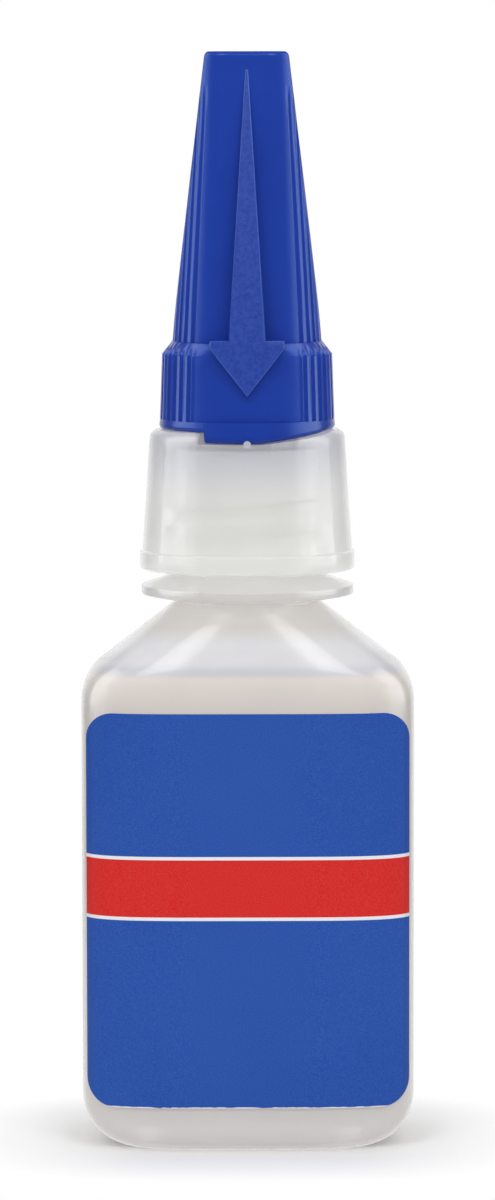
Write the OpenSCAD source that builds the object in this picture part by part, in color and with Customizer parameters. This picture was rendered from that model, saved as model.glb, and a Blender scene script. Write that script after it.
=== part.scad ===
// Squeeze bottle of instant adhesive with a screw collar, a dropper nozzle and a twist-off cap.
// Millimetres, +Z up, front towards -Y, origin at the middle of the base.

/* [Bottle] */
// Width of the body
body_w = 32; // [26:0.5:40]
// Depth of the body
body_d = 19; // [17:0.5:24]
// Height of the straight wall, up to where the shoulder starts to round
body_h = 42.9; // [34:0.1:60]
// Squareness of the body's section, where 2 is an ellipse
section_power = 4.4; // [3:0.1:6]
// Thickness of the blown wall
wall = 1.2; // [0.8:0.1:1.6]
// Radius round the heel at the sides of the body
heel_side_r = 5; // [3:0.1:6]
// Radius round the heel at the front and back of the body
heel_front_r = 2; // [1.8:0.1:3]
// Width of the rim that the bottle stands on
foot_w = 2.2; // [1.4:0.1:3]
// Depth of the hollow under the base
foot_rise = 0.8; // [0.3:0.1:1.4]
// Slope of the shoulder above the horizontal, in degrees
shoulder_slope = 38.5; // [30:0.5:46]
// Radius where the wall turns into the shoulder
shoulder_r = 4.6; // [3:0.1:6]
// Height of the air between the adhesive and the neck
air_h = 6.1; // [3:0.1:20]

/* [Neck] */
// Diameter of the neck under its thread
neck_d = 14; // [13:0.1:16]
// Diameter of the bore through the neck
bore_d = 9.6; // [8.4:0.1:10.4]
// Height of the neck above the shoulder
neck_h = 9.8; // [8.6:0.1:12]
// Diameter of the support ring
ring_d = 20.4; // [17:0.1:24]
// Height of the support ring's edge
ring_edge = 0.85; // [0.5:0.05:1.2]
// Height of the support ring's lower cone
ring_under = 0.6; // [0.4:0.05:1.2]
// Height of the support ring's upper cone
ring_over = 1.1; // [0.3:0.05:1.4]
// Pitch of the thread
thread_pitch = 3; // [2.4:0.1:3.6]
// Turns of the thread
thread_turns = 1.25; // [1:0.05:1.5]
// Height that the thread stands out from the neck
thread_h = 0.9; // [0.5:0.05:1.2]

/* [Labels] */
// Thickness of the label film
label_t = 0.15; // [0.08:0.01:0.3]
// Height of a label's lower edge above the base
label_foot = 4.4; // [4:0.1:12]
// Distance from the upper edge of a label to the shoulder
label_top_gap = 0.6; // [0.2:0.1:8]
// Distance from the side edge of a label to the side of the body, seen from the front
label_side_gap = 0.35; // [0.2:0.05:5]
// Radius of a label's corners
label_corner_r = 2.6; // [1:0.1:5]

/* [Collar] */
// Height of the collar
collar_h = 13.45; // [12:0.05:16]
// Thickness of the collar's wall at its top
collar_wall = 1.25; // [0.9:0.05:2]
// How far the collar's wall flares on each side, from its top to its bead
collar_flare = 0.7; // [0:0.05:1.2]
// How far the bead at the collar's foot stands out
bead_out = 0.25; // [0.1:0.05:0.6]
// Height of the bead at the collar's foot
bead_h = 1.75; // [1:0.05:3]
// Radius round the collar's upper edge
collar_corner_r = 0.9; // [0.3:0.05:1]
// Gap between the support ring and the collar
collar_gap = 0.45; // [0.3:0.05:1.2]
// Thickness of the deck that closes the collar
deck_t = 1.7; // [1.4:0.05:2.4]
// Diameter of the spigot that centres the cap
spigot_d = 12.6; // [11.8:0.1:13]
// Height of the spigot
spigot_h = 3.5; // [2:0.1:4.5]
// How far the bead at the spigot's top stands out
spigot_bead = 0.15; // [0.05:0.01:0.25]
// Depth of the cam notches in the collar's rim
cam_h = 1; // [0.5:0.05:1.2]
// Side of a cam notch that stops the cap, in degrees from the front
cam_stop = -30; // [-50:1:-10]
// Foot of a cam ramp, in degrees from the front
cam_foot = 8; // [0:1:20]
// Top of a cam ramp, in degrees from the front
cam_top = 70; // [50:1:90]
// Radius of the locating pip on a notch's floor
pip_r = 0.38; // [0.2:0.02:0.4]

/* [Nozzle] */
// Length of the plug that seals the bore
plug_h = 5; // [3:0.1:7]
// Thickness of the plug's wall
plug_wall = 1.1; // [0.8:0.05:1.6]
// Diameter of the hub that stands in the spigot
hub_d = 9.8; // [8.4:0.1:10]
// Diameter of the spout at its foot
spout_d = 6.4; // [5:0.1:7]
// Diameter of the spout at its tip
tip_d = 2.5; // [1.8:0.1:3.2]
// Thickness of the spout's wall at its foot
spout_wall = 1; // [0.6:0.05:1.6]
// Diameter of the orifice
orifice_d = 1.2; // [1.06:0.02:1.6]
// Length of the straight orifice
orifice_h = 2; // [1:0.1:4]

/* [Cap] */
// Height of the cap above the collar
cap_h = 36; // [30:0.5:44]
// How far the collar's rim shows round the cap
rim_ledge = 0.96; // [0.95:0.01:1.2]
// Height of the cap's skirt
skirt_h = 7.1; // [6:0.1:9]
// How far the skirt draws in on each side over its height
skirt_draft = 0.28; // [0:0.02:0.5]
// Height of the plain band at the skirt's foot
band_h = 0.9; // [0.5:0.1:1.6]
// Height of the slope above the skirt
slope_h = 1.3; // [0.8:0.1:2]
// Width of the slope above the skirt
slope_w = 1; // [0.5:0.05:1.2]
// Width across the sides of the cap at its top
top_w = 8; // [7:0.1:10]
// Depth across the flat panels of the cap at its top
top_d = 7.8; // [7:0.1:9]
// Diameter over the rounded corners of the cap at its top
top_corner_d = 10.4; // [9.6:0.1:11]
// How deep each flat panel lies in the foot of the taper
panel_in = 1.5; // [1:0.05:1.8]
// Chamfer round the top of the cap
top_edge = 0.5; // [0.2:0.05:0.8]
// Thickness of the cap behind its flat panels
cap_wall = 1.3; // [1:0.05:1.6]
// Thickness of the crown
crown_t = 1.7; // [1:0.1:2.5]
// Diameter of the boss that holds the pin
boss_d = 3.6; // [2.4:0.1:4]
// Height of the boss
boss_h = 3.4; // [3:0.1:6]
// Radius of the grip grooves
groove_r = 0.3; // [0.2:0.01:0.35]
// Grip grooves on each side of the taper
taper_grooves = 11; // [5:1:11]
// Angle between the grooves of the taper
taper_step = 8.3; // [7:0.1:8.6]
// Grip grooves on each side of the skirt
skirt_grooves = 14; // [6:1:14]
// Angle between the grooves of the skirt
skirt_step = 7.4; // [6:0.1:7.6]

/* [Arrow] */
// How far the arrow's head stands out from the top of the skirt
arrow_out = 0.3; // [0.1:0.05:0.5]
// How far the upper end of the arrow stands out from the panel
shaft_end_out = 0.1; // [0.05:0.05:0.3]
// Width of the arrow's shaft at its upper end
shaft_top_w = 0.4; // [0.2:0.1:1]
// Width of the arrow's shaft where it meets the head
shaft_foot_w = 3.4; // [2:0.1:5]
// Width of the arrow's head
head_w = 7; // [5:0.1:8]
// Height of the upright sides of the arrow's head
head_side_h = 0.8; // [0.3:0.1:1.5]
// Distance from the tip of the arrow to the foot of the cap
arrow_foot_gap = 3.4; // [2:0.1:4]
// Distance from the upper end of the arrow to the top of the cap
arrow_top_gap = 3.5; // [1:0.1:8]

/* [Pin] */
// Diameter of the sealing pin
pin_d = 0.9; // [0.6:0.02:1]
// Length of the sealing pin
pin_h = 9.1; // [6:0.1:14]
// Length of the pin that is held in the boss
pin_hold = 3.2; // [2:0.1:4]

/* [Hidden] */
$fn = 96;

// Clearances
seat_gap = 0.05;
cap_gap = 0.1;
plug_gap = 0.08;
hub_gap = 0.1;
spigot_gap = 0.15;
thread_gap = 0.25;
fill_gap = 0.05;
film_gap = 0.02;
pin_gap = 0.03;
boss_gap = 0.4;
pip_gap = 0.08;
cam_side_gap = 1;

// Angle by which a cam's cut leads into its ramp
cam_lead = 3;

// Cuts run past the surface by the overrun, and joined solids reach into each other by the tuck
overrun = 1;
tuck = 1;

// Samples along curves
section_steps = 48;
heel_steps = 7;
shoulder_steps = 6;
corner_steps = 5;
turn_steps = 24;
cam_steps = 10;

// Small sizes that no other piece depends on
ridge_sink = 0.25;
shoulder_sink = 0.5;
ring_foot = 0.12;
throat_step = 0.4;
spigot_bead_h = 0.9;
slope_tuck = 0.25;
side_ease = 0.1;

// Thread ridges, as shares of the pitch and of the helix
thread_start_share = 0.6;
ridge_root_share = 0.5;
ridge_crest_share = 0.27;
ridge_fade_share = 0.08;
ridge_end_share = 0.2;

// How much shallower a grip groove is at its upper end, as a share of its radius
groove_fade_share = 0.7;

// Least sine or cosine by which a plane's distance is divided
least_share = 0.05;

// Bottle and neck
neck_r = neck_d / 2;
bore_r = bore_d / 2;
throat_r = bore_r + throat_step;
floor_z = foot_rise + wall;
shoulder_turn = 90 - shoulder_slope;
neck_z = shoulder_end_z(0, neck_r);
throat_z = shoulder_end_z(wall, throat_r);
fill_z = neck_z - air_h;
ring_z = neck_z + ring_foot;
ring_tip_z = ring_z + ring_under;
ring_top_z = ring_tip_z + ring_edge + ring_over;
mouth_z = neck_z + neck_h;
thread_z = ring_top_z + thread_pitch * thread_start_share;

// Collar
collar_z = ring_top_z + collar_gap;
rim_z = collar_z + collar_h;
deck_z = rim_z - deck_t;
collar_bore_r = neck_r + thread_h + thread_gap;
collar_top_r = collar_bore_r + collar_wall;
collar_foot_r = collar_top_r + collar_flare;
spigot_r = spigot_d / 2;
spigot_z = rim_z + spigot_h;

// Cap
cap_z = rim_z + cap_gap;
cap_top_z = cap_z + cap_h;
skirt_r = collar_top_r - rim_ledge;
skirt_top_r = skirt_r - skirt_draft;
skirt_z = cap_z + skirt_h;
taper_z = skirt_z + slope_h;
taper_r = skirt_top_r - slope_w;
panel_r = taper_r - panel_in;
cap_bore_r = spigot_r + spigot_bead + spigot_gap;
cap_bore_z = spigot_z + spigot_gap;
cavity_r = panel_r - cap_wall;
cavity_top_r = top_d / 2 - cap_wall;
crown_z = cap_top_z - crown_t;
boss_z = crown_z - boss_h;
boss_r = boss_d / 2;

// Nozzle and pin
hub_r = hub_d / 2;
tip_z = boss_z - boss_gap;
plug_r = bore_r - plug_gap;
plug_z = mouth_z - plug_h;
channel_r = plug_r - plug_wall;
pin_r = pin_d / 2;
pin_top_z = boss_z + pin_hold;

// Half-width of the cap's rounded corners, sides and panels at a height on the taper
function on_taper(foot, top, z) = foot + (top - foot) * (z - taper_z) / (cap_top_z - taper_z);
function corner_at(z) = on_taper(taper_r, top_corner_d / 2, z);
function side_at(z) = on_taper(taper_r + side_ease, top_w / 2, z);
function panel_at(z) = on_taper(panel_r, top_d / 2, z);

// Distance from the axis to the taper's surface, at an angle from the front
function taper_at(angle, z) = min(
    corner_at(z),
    side_at(z) / max(abs(sin(angle)), least_share),
    panel_at(z) / max(abs(cos(angle)), least_share)
);

// A superellipse of half-axes a and b
function section(a, b) = [
    for (i = [0 : section_steps - 1])
        let (t = 360 * i / section_steps, e = 2 / section_power)
        [a * sign(cos(t)) * pow(abs(cos(t)), e), b * sign(sin(t)) * pow(abs(sin(t)), e)]
];

// A ring at height z, part way from the body's section, drawn in by an inset each way, to a circle
function ring(z, inset, share, circle_r) = [
    for (i = [0 : section_steps - 1])
        let (p = section(body_w / 2 - inset.x, body_d / 2 - inset.y)[i], t = 360 * i / section_steps)
        [
            p.x + (circle_r * cos(t) - p.x) * share,
            p.y + (circle_r * sin(t) - p.y) * share,
            z
        ]
];

// Height at which the shoulder, drawn in by inset, reaches a radius
function shoulder_end_z(inset, circle_r) =
    let (r = shoulder_r - inset, arc_end = body_w / 2 - inset - r * (1 - cos(shoulder_turn)))
    body_h + r * sin(shoulder_turn) + (arc_end - circle_r) * tan(shoulder_slope);

// How far a heel of radius r draws in at a height above its base
function heel_inset(r, height) = r - sqrt(pow(r, 2) - pow(max(0, r - height), 2));

// Rings round the heel, with the base at z
function heel_rings(z, inset) =
    let (side_r = heel_side_r - inset, front_r = heel_front_r - inset)
    [
        for (i = [0 : heel_steps])
            let (height = side_r * (1 - cos(90 * i / heel_steps)))
            ring(z + height, [inset + heel_inset(side_r, height), inset + heel_inset(front_r, height)], 0, 0)
    ];

// Rings over the shoulder, up to a circle
function shoulder_rings(inset, circle_r) =
    let (r = shoulder_r - inset, run = body_w / 2 - inset - circle_r)
    concat(
        [
            for (i = [0 : shoulder_steps])
                let (angle = shoulder_turn * i / shoulder_steps)
                ring(body_h + r * sin(angle), [inset, inset], r * (1 - cos(angle)) / run, circle_r)
        ],
        [ring(shoulder_end_z(inset, circle_r), [inset, inset], 1, circle_r)]
    );

// The hollow of the base and the rim round it
foot_inset = [heel_side_r + foot_w, heel_front_r + foot_w];
foot_rings = [
    ring(foot_rise, foot_inset + [foot_rise, foot_rise], 0, 0),
    ring(0, foot_inset, 0, 0)
];

// Points of an arc, from one angle to another
function arc(centre, r, from, to) = [
    for (i = [0 : corner_steps])
        let (angle = from + (to - from) * i / corner_steps)
        centre + r * [cos(angle), sin(angle)]
];

// A closed skin over a list of rings
module loft(rings) {
    n = len(rings[0]);
    last = len(rings) - 1;
    sides = [
        for (i = [0 : last - 1], j = [0 : n - 1])
            let (k = (j + 1) % n, a = i * n, b = a + n)
            each [[a + j, b + j, b + k], [a + j, b + k, a + k]]
    ];
    foot = [for (j = [0 : n - 1]) j];
    top = [for (j = [n - 1 : -1 : 0]) last * n + j];
    polyhedron([for (r = rings) each r], concat(sides, [foot, top]));
}

// A section of a ridge or a cam: low and high points at the inner and outer radius
function cross_ring(angle, inner, outer) =
    let (way = [sin(angle), -cos(angle)])
    [
        for (p = [inner[0], inner[1], outer[1], outer[0]])
            [p.x * way.x, p.x * way.y, p.y]
    ];

// One helical ridge, from a wall to a crest
module ridge(wall_r, root_r, crest_r, z) {
    steps = ceil(turn_steps * thread_turns);
    root_half = thread_pitch * ridge_root_share / 2;
    crest_half = thread_pitch * ridge_crest_share / 2;
    loft([
        for (i = [0 : steps])
            let (
                along = i / steps,
                grown = min(1, along / ridge_fade_share, (1 - along) / ridge_fade_share),
                share = ridge_end_share + (1 - ridge_end_share) * grown,
                mid = z + thread_pitch * thread_turns * along,
                crest = root_r + (crest_r - root_r) * share,
                rooted = [[wall_r, mid - root_half], [wall_r, mid + root_half]],
                crested = [[crest, mid - crest_half], [crest, mid + crest_half]]
            )
            cross_ring(
                360 * thread_turns * along,
                wall_r < crest_r ? rooted : crested,
                wall_r < crest_r ? crested : rooted
            )
    ]);
}

// Angles from one up to another, which is left out
function sweep(from, to) = [for (i = [0 : cam_steps - 1]) from + (to - from) * i / cam_steps];

// Height of the cam ramp's line at an angle, below the rim
function ramp_drop(angle) = cam_h * (cam_top - angle) / (cam_top - cam_foot);

// Cuts a cam notch out of the collar's rim: a stop, a floor and a ramp
module notch() {
    inner = spigot_r + spigot_gap;
    outer = collar_foot_r + overrun;
    high = rim_z + overrun;
    end = cam_top + cam_lead;
    loft([
        for (angle = concat(sweep(cam_stop, cam_foot), sweep(cam_foot, end), [end]))
            let (low = rim_z - min(cam_h, ramp_drop(angle)))
            cross_ring(angle, [[inner, low], [inner, high]], [[outer, low], [outer, high]])
    ]);
}

// Cuts away the foot of the cap between one tooth's ramp and the next tooth's stop
module tooth_gap() {
    inner = cap_bore_r - overrun;
    outer = skirt_r + overrun;
    low = cap_z - cam_h - overrun;
    next_stop = cam_stop + cam_side_gap + 180;
    loft([
        for (angle = concat(sweep(cam_foot - cam_lead, cam_top), sweep(cam_top, next_stop), [next_stop]))
            let (high = cap_z - max(0, ramp_drop(angle)))
            cross_ring(angle, [[inner, low], [inner, high]], [[outer, low], [outer, high]])
    ]);
}

// Everything on the front is repeated on the back
module both_ways() {
    for (turn = [0, 180])
        rotate([0, 0, turn])
            children();
}

// The neck with its support ring
module neck() {
    rotate_extrude()
        polygon([
            [0, neck_z - tuck],
            [neck_r, neck_z - tuck],
            [neck_r, ring_z],
            [ring_d / 2, ring_tip_z],
            [ring_d / 2, ring_tip_z + ring_edge],
            [neck_r, ring_top_z],
            [neck_r, mouth_z],
            [0, mouth_z]
        ]);
    ridge(neck_r - ridge_sink, neck_r, neck_r + thread_h, thread_z);
}

module bottle() {
    color("#dcdcd8")
        difference() {
            union() {
                loft(concat(foot_rings, heel_rings(0, 0), shoulder_rings(0, neck_r - shoulder_sink)));
                neck();
            }
            loft(concat(heel_rings(floor_z, wall), shoulder_rings(wall, throat_r)));
            translate([0, 0, throat_z - tuck])
                cylinder(r = bore_r, h = mouth_z - throat_z + tuck + overrun);
        }
}

module adhesive() {
    inset = wall + fill_gap;
    color("#e6dcc8")
        intersection() {
            loft(concat(heel_rings(floor_z + fill_gap, inset), shoulder_rings(inset, throat_r)));
            translate([-body_w / 2, -body_d / 2, 0])
                cube([body_w, body_d, fill_z]);
        }
}

// A label's outline, seen from the front, pushed through the front half of the body
module label_blank() {
    low = label_foot;
    high = body_h - label_top_gap;
    half = body_w / 2 - label_side_gap;
    reach = body_d / 2 + overrun;
    corner_x = half - label_corner_r;
    translate([-half, -reach, low + label_corner_r])
        cube([2 * half, reach, high - low - 2 * label_corner_r]);
    translate([-corner_x, -reach, low])
        cube([2 * corner_x, reach, high - low]);
    for (x = [-corner_x, corner_x], z = [low + label_corner_r, high - label_corner_r])
        translate([x, 0, z])
            rotate([90, 0, 0])
                cylinder(r = label_corner_r, h = reach);
}

// A film that follows the front of the body
module label() {
    inner = film_gap;
    outer = film_gap + label_t;
    intersection() {
        linear_extrude(body_h)
            difference() {
                polygon(section(body_w / 2 + outer, body_d / 2 + outer));
                polygon(section(body_w / 2 + inner, body_d / 2 + inner));
            }
        label_blank();
    }
}

module front_label() {
    color("#2b52a4")
        label();
}

module rear_label() {
    color("#2b52a4")
        rotate([0, 0, 180])
            label();
}

module nozzle() {
    base_z = mouth_z + seat_gap;
    base_top_z = deck_z - seat_gap;
    color("#e8e8e4")
        rotate_extrude()
            polygon([
                [channel_r, plug_z],
                [plug_r, plug_z],
                [plug_r, base_z],
                [neck_r, base_z],
                [neck_r, base_top_z],
                [hub_r, base_top_z],
                [hub_r, spigot_z],
                [spout_d / 2, spigot_z],
                [tip_d / 2, tip_z],
                [orifice_d / 2, tip_z],
                [orifice_d / 2, tip_z - orifice_h],
                [spout_d / 2 - spout_wall, spigot_z - spout_wall],
                [channel_r, base_top_z - spout_wall]
            ]);
}

module collar() {
    corner_z = rim_z - collar_corner_r;
    hole_r = hub_r + hub_gap;
    bead_half = spigot_bead_h / 2;
    bead_z = spigot_z - spigot_bead_h;
    pip_reach = skirt_r + pip_gap + pip_r;
    color("#d9d9d5")
        union() {
            difference() {
                rotate_extrude()
                    polygon(concat(
                        [
                            [collar_bore_r, collar_z],
                            [collar_foot_r + bead_out, collar_z],
                            [collar_foot_r + bead_out, collar_z + bead_h],
                            [collar_foot_r, collar_z + bead_h]
                        ],
                        arc([collar_top_r - collar_corner_r, corner_z], collar_corner_r, 0, 90),
                        [
                            [spigot_r, rim_z],
                            [spigot_r, bead_z - bead_half],
                            [spigot_r + spigot_bead, bead_z],
                            [spigot_r, bead_z + bead_half],
                            [spigot_r, spigot_z],
                            [hole_r, spigot_z],
                            [hole_r, deck_z],
                            [collar_bore_r, deck_z]
                        ]
                    ));
                both_ways()
                    notch();
            }
            ridge(
                collar_bore_r + ridge_sink,
                collar_bore_r,
                neck_r + thread_gap,
                thread_z + thread_pitch / 2
            );
            both_ways()
                translate([0, -pip_reach, rim_z - cam_h])
                    sphere(r = pip_r);
        }
}

// The skirt with the slope above it
module skirt() {
    slope_end_z = taper_z + slope_tuck * slope_h / slope_w;
    rotate_extrude()
        polygon([
            [0, cap_z - cam_h],
            [skirt_r, cap_z - cam_h],
            [skirt_top_r, skirt_z],
            [taper_r - slope_tuck, slope_end_z],
            [0, slope_end_z]
        ]);
}

// A four-sided block between the planes of the sides and the panels, with a chamfered top
module taper_block() {
    low = taper_z - slope_h;
    edge_z = cap_top_z - top_edge;
    loft([
        for (level = [[low, 0], [edge_z, 0], [cap_top_z, top_edge]])
            let (
                w = side_at(level[0]) - level[1],
                d = panel_at(level[0]) - level[1]
            )
            [[-w, -d, level[0]], [w, -d, level[0]], [w, d, level[0]], [-w, d, level[0]]]
    ]);
}

// The tall part of the cap: a cone with two flat panels and two drawn-in sides
module taper() {
    low = taper_z - slope_h;
    intersection() {
        translate([0, 0, low])
            cylinder(r1 = corner_at(low), r2 = corner_at(cap_top_z), h = cap_top_z - low);
        taper_block();
    }
}

// An outline drawn in the front view, pushed from the axis out through the front
module front_prism(points) {
    rotate([90, 0, 0])
        linear_extrude(collar_foot_r)
            polygon(points);
}

// The raised arrow that points down at the collar; its face leans back above the head
module arrow() {
    tip = cap_z + arrow_foot_gap;
    head_top = taper_z + arrow_out;
    shaft_top = cap_top_z - arrow_top_gap;
    face = skirt_top_r + arrow_out;
    face_end = panel_at(shaft_top) + shaft_end_out;
    lean = (face - face_end) / (shaft_top - head_top);
    intersection() {
        front_prism([
            [0, tip],
            [head_w / 2, head_top - head_side_h],
            [head_w / 2, head_top],
            [shaft_foot_w / 2, head_top],
            [shaft_top_w / 2, shaft_top],
            [-shaft_top_w / 2, shaft_top],
            [-shaft_foot_w / 2, head_top],
            [-head_w / 2, head_top],
            [-head_w / 2, head_top - head_side_h]
        ]);
        rotate([90, 0, 90])
            linear_extrude(head_w + overrun, center = true)
                polygon([
                    [0, cap_z],
                    [-face, cap_z],
                    [-face, head_top],
                    [-face + lean * (cap_top_z - head_top), cap_top_z],
                    [0, cap_top_z]
                ]);
    }
}

// A round groove along the surface, from one point of the cap's profile to another
module groove(angle, foot, top) {
    run = top - foot;
    rotate([0, 0, angle])
        translate([0, -foot.x, foot.y])
            rotate([atan2(run.x, run.y), 0, 0])
                cylinder(r = groove_r, h = norm(run));
}

// The grip grooves, which fade out towards the top of the cap
module grooves() {
    taper_end_z = cap_top_z - arrow_top_gap;
    fade = groove_r * groove_fade_share;
    for (side = [90, -90]) {
        for (i = [0 : taper_grooves - 1])
            let (angle = side + taper_step * (i - (taper_grooves - 1) / 2))
            groove(
                angle,
                [taper_at(angle, taper_z), taper_z],
                [taper_at(angle, taper_end_z) + fade, taper_end_z]
            );
        for (i = [0 : skirt_grooves - 1])
            groove(
                side + skirt_step * (i - (skirt_grooves - 1) / 2),
                [skirt_r, cap_z + band_h],
                [skirt_top_r, skirt_z + slope_h / 2]
            );
    }
}

// The hollow of the cap, with the boss left standing in it
module cavity() {
    rotate_extrude()
        polygon([
            [0, cap_z - cam_h - overrun],
            [cap_bore_r, cap_z - cam_h - overrun],
            [cap_bore_r, cap_bore_z],
            [cavity_r, taper_z],
            [cavity_top_r, crown_z],
            [boss_r, crown_z],
            [boss_r, boss_z],
            [0, boss_z]
        ]);
    cylinder(r = pin_r + pin_gap, h = pin_top_z + pin_gap);
}

module cap() {
    color("#23399b")
        difference() {
            union() {
                skirt();
                taper();
                both_ways()
                    arrow();
            }
            cavity();
            grooves();
            both_ways()
                tooth_gap();
        }
}

module sealing_pin() {
    color("silver")
        translate([0, 0, pin_top_z - pin_h])
            cylinder(r = pin_r, h = pin_h);
}

bottle();
adhesive();
front_label();
rear_label();
nozzle();
collar();
cap();
sealing_pin();
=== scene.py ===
"""Dressed model of a squeeze bottle of instant adhesive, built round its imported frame.

The sizes of the pieces are in millimetres, those of the studio in metres, and angles in degrees.
"""

from __future__ import annotations

import logging
import math
from dataclasses import dataclass, field
from enum import Enum
from typing import Any, Callable, Iterable, Sequence

import bmesh
import bpy
from mathutils import Color, Matrix, Vector

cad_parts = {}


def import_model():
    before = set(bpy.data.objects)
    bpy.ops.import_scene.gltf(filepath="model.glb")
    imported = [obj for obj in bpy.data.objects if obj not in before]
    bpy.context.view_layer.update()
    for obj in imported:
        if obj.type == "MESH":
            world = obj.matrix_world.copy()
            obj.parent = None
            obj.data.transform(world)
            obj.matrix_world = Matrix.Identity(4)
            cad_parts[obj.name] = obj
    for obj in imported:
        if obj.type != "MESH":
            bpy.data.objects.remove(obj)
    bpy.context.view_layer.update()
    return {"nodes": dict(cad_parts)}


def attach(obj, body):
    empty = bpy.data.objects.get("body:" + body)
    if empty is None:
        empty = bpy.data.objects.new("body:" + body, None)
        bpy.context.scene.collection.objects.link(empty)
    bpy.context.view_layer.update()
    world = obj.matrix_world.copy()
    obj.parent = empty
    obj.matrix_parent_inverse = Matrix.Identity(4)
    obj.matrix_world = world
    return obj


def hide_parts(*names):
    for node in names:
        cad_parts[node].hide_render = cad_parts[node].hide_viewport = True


log = logging.getLogger("adhesive_bottle")

MM = 0.001
FULL_TURN = 360.0
HALF_TURN = FULL_TURN / 2
QUARTER_TURN = FULL_TURN / 4
MERGE_DIST = 1e-7  # metres
STRAIGHT = 1e-6  # radians
ROUND_STEPS = 4
SHARP_EDGE = 38.0
SCREEN_WHITE = 255.0
WHITE = (1.0, 1.0, 1.0, 1.0)
NOISE_MIDDLE = 0.5
MIX_FIRST, MIX_SECOND = 6, 7  # the Mix node's colour sockets, which share their names with others

Point = tuple[float, float, float]
Corner = tuple[float, float, float]  # radius, height and corner radius
Tone = tuple[float, float, float]  # red, green and blue on screen, from 0 to 255
Paint = tuple[float, float, float, float]  # linear red, green, blue and alpha
Profile = list[tuple[float, float]]  # radius and height of each point
Ring = Callable[[float], Point]  # the point of a closed ring at an angle


class Body(Enum):
    """The moving bodies that pieces ride on."""

    BOTTLE = "bottle"
    NOZZLE = "nozzle"
    COLLAR = "collar"
    PIN = "cap_pin"
    CAP = "cap"


class Slot(Enum):
    """The material slots."""

    BOTTLE = "bottle_plastic"
    LIQUID = "adhesive_liquid"
    LABEL = "label_film"
    NOZZLE = "nozzle_plastic"
    COLLAR = "collar_plastic"
    CAP = "cap_plastic"
    PIN = "pin_steel"


class Use(Enum):
    """What a lamp is seen by: everything, only the matt light or only the reflections."""

    ALL = "all"
    FILL = "fill"
    SHEEN = "sheen"


class Side(Enum):
    """The two faces of the pack, with the turn in degrees that brings the front there."""

    FRONT = 0.0
    REAR = HALF_TURN


# Small sums


def clamp(value: float, low: float = 0.0, high: float = 1.0) -> float:
    """Returns the value held between low and high."""
    return max(low, min(high, value))


def blend(a: float, b: float, share: float) -> float:
    """Returns the number that lies a share of the way from a to b."""
    return a + (b - a) * share


def sin_deg(angle: float) -> float:
    """Returns the sine of an angle in degrees."""
    return math.sin(math.radians(angle))


def cos_deg(angle: float) -> float:
    """Returns the cosine of an angle in degrees."""
    return math.cos(math.radians(angle))


def steps(low: float, high: float, count: int) -> list[float]:
    """Returns count + 1 even numbers from low to high."""
    return [blend(low, high, i / count) for i in range(count + 1)]


def power(value: float, exponent: float) -> float:
    """Returns a power that keeps the sign of the value."""
    return math.copysign(abs(value) ** exponent, value)


def off_angle(angle: float, centre: float) -> float:
    """Returns the signed angle from a centre, between -180 and 180 degrees."""
    return (angle - centre + HALF_TURN) % FULL_TURN - HALF_TURN


def soft_min(values: Iterable[float], round_by: float) -> float:
    """Blends a minimum so that its creases become rounded edges.

    Args:
        values: The numbers to take the least of.
        round_by: How far the blend reaches, in the units of the values.

    Returns:
        A number at or a little under the least value.
    """
    listed = list(values)
    least = min(listed)
    return least - round_by * math.log(sum(math.exp((least - v) / round_by) for v in listed))


def from_front(radius: float, angle: float, z: float) -> Point:
    """Returns a point at a radius and height, with the angle counted from the front towards +X."""
    return (radius * sin_deg(angle), -radius * cos_deg(angle), z)


def even_ring(radius: float, z: float) -> Ring:
    """Returns a plain circular ring."""
    return lambda angle: from_front(radius, angle, z)


# Meshes


class RingSkin:
    """A skin that is drawn by extruding a circle of columns from ring to ring."""

    def __init__(self, angles: Sequence[float]) -> None:
        """Starts the skin from a circle.

        Args:
            angles: The angle of each column, in degrees.
        """
        self.angles = list(angles)
        self.bm = bmesh.new()
        bmesh.ops.create_circle(self.bm, segments=len(self.angles), radius=1.0)
        self.columns = list(self.bm.verts)
        self.edges = list(self.bm.edges)
        self.first_edges = list(self.bm.edges)
        self.begun = False

    def draw(self, ring: Ring) -> None:
        """Sets the circle on its first ring, or extrudes it to the next one.

        Args:
            ring: The ring to draw.
        """
        if self.begun:
            self._extrude()
        self.begun = True
        for vert, angle in zip(self.columns, self.angles):
            vert.co = Vector(ring(angle)) * MM

    def draw_all(self, rings: Iterable[Ring]) -> None:
        """Draws one ring after another."""
        for ring in rings:
            self.draw(ring)

    def fill_ends(self) -> None:
        """Closes the first and the last ring with a face, and turns all faces outwards."""
        bmesh.ops.edgeloop_fill(self.bm, edges=self.first_edges)
        bmesh.ops.edgeloop_fill(self.bm, edges=self.edges)
        bmesh.ops.recalc_face_normals(self.bm, faces=self.bm.faces)

    def join_ends(self) -> None:
        """Bridges the last ring back to the first, and turns all faces outwards."""
        bmesh.ops.bridge_loops(self.bm, edges=self.first_edges + self.edges)
        bmesh.ops.recalc_face_normals(self.bm, faces=self.bm.faces)

    def _extrude(self) -> None:
        """Extrudes the newest ring and follows each column to its new vertex."""
        made = bmesh.ops.extrude_edge_only(self.bm, edges=self.edges)["geom"]
        fresh = {part for part in made if isinstance(part, bmesh.types.BMVert)}
        self.columns = [
            next(edge.other_vert(old) for edge in old.link_edges if edge.other_vert(old) in fresh)
            for old in self.columns
        ]
        following = self.columns[1:] + self.columns[:1]
        self.edges = [self.bm.edges.get(pair) for pair in zip(self.columns, following)]


def even_angles(count: int) -> list[float]:
    """Returns the angles of a circle's even columns."""
    return [FULL_TURN * i / count for i in range(count)]


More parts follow.
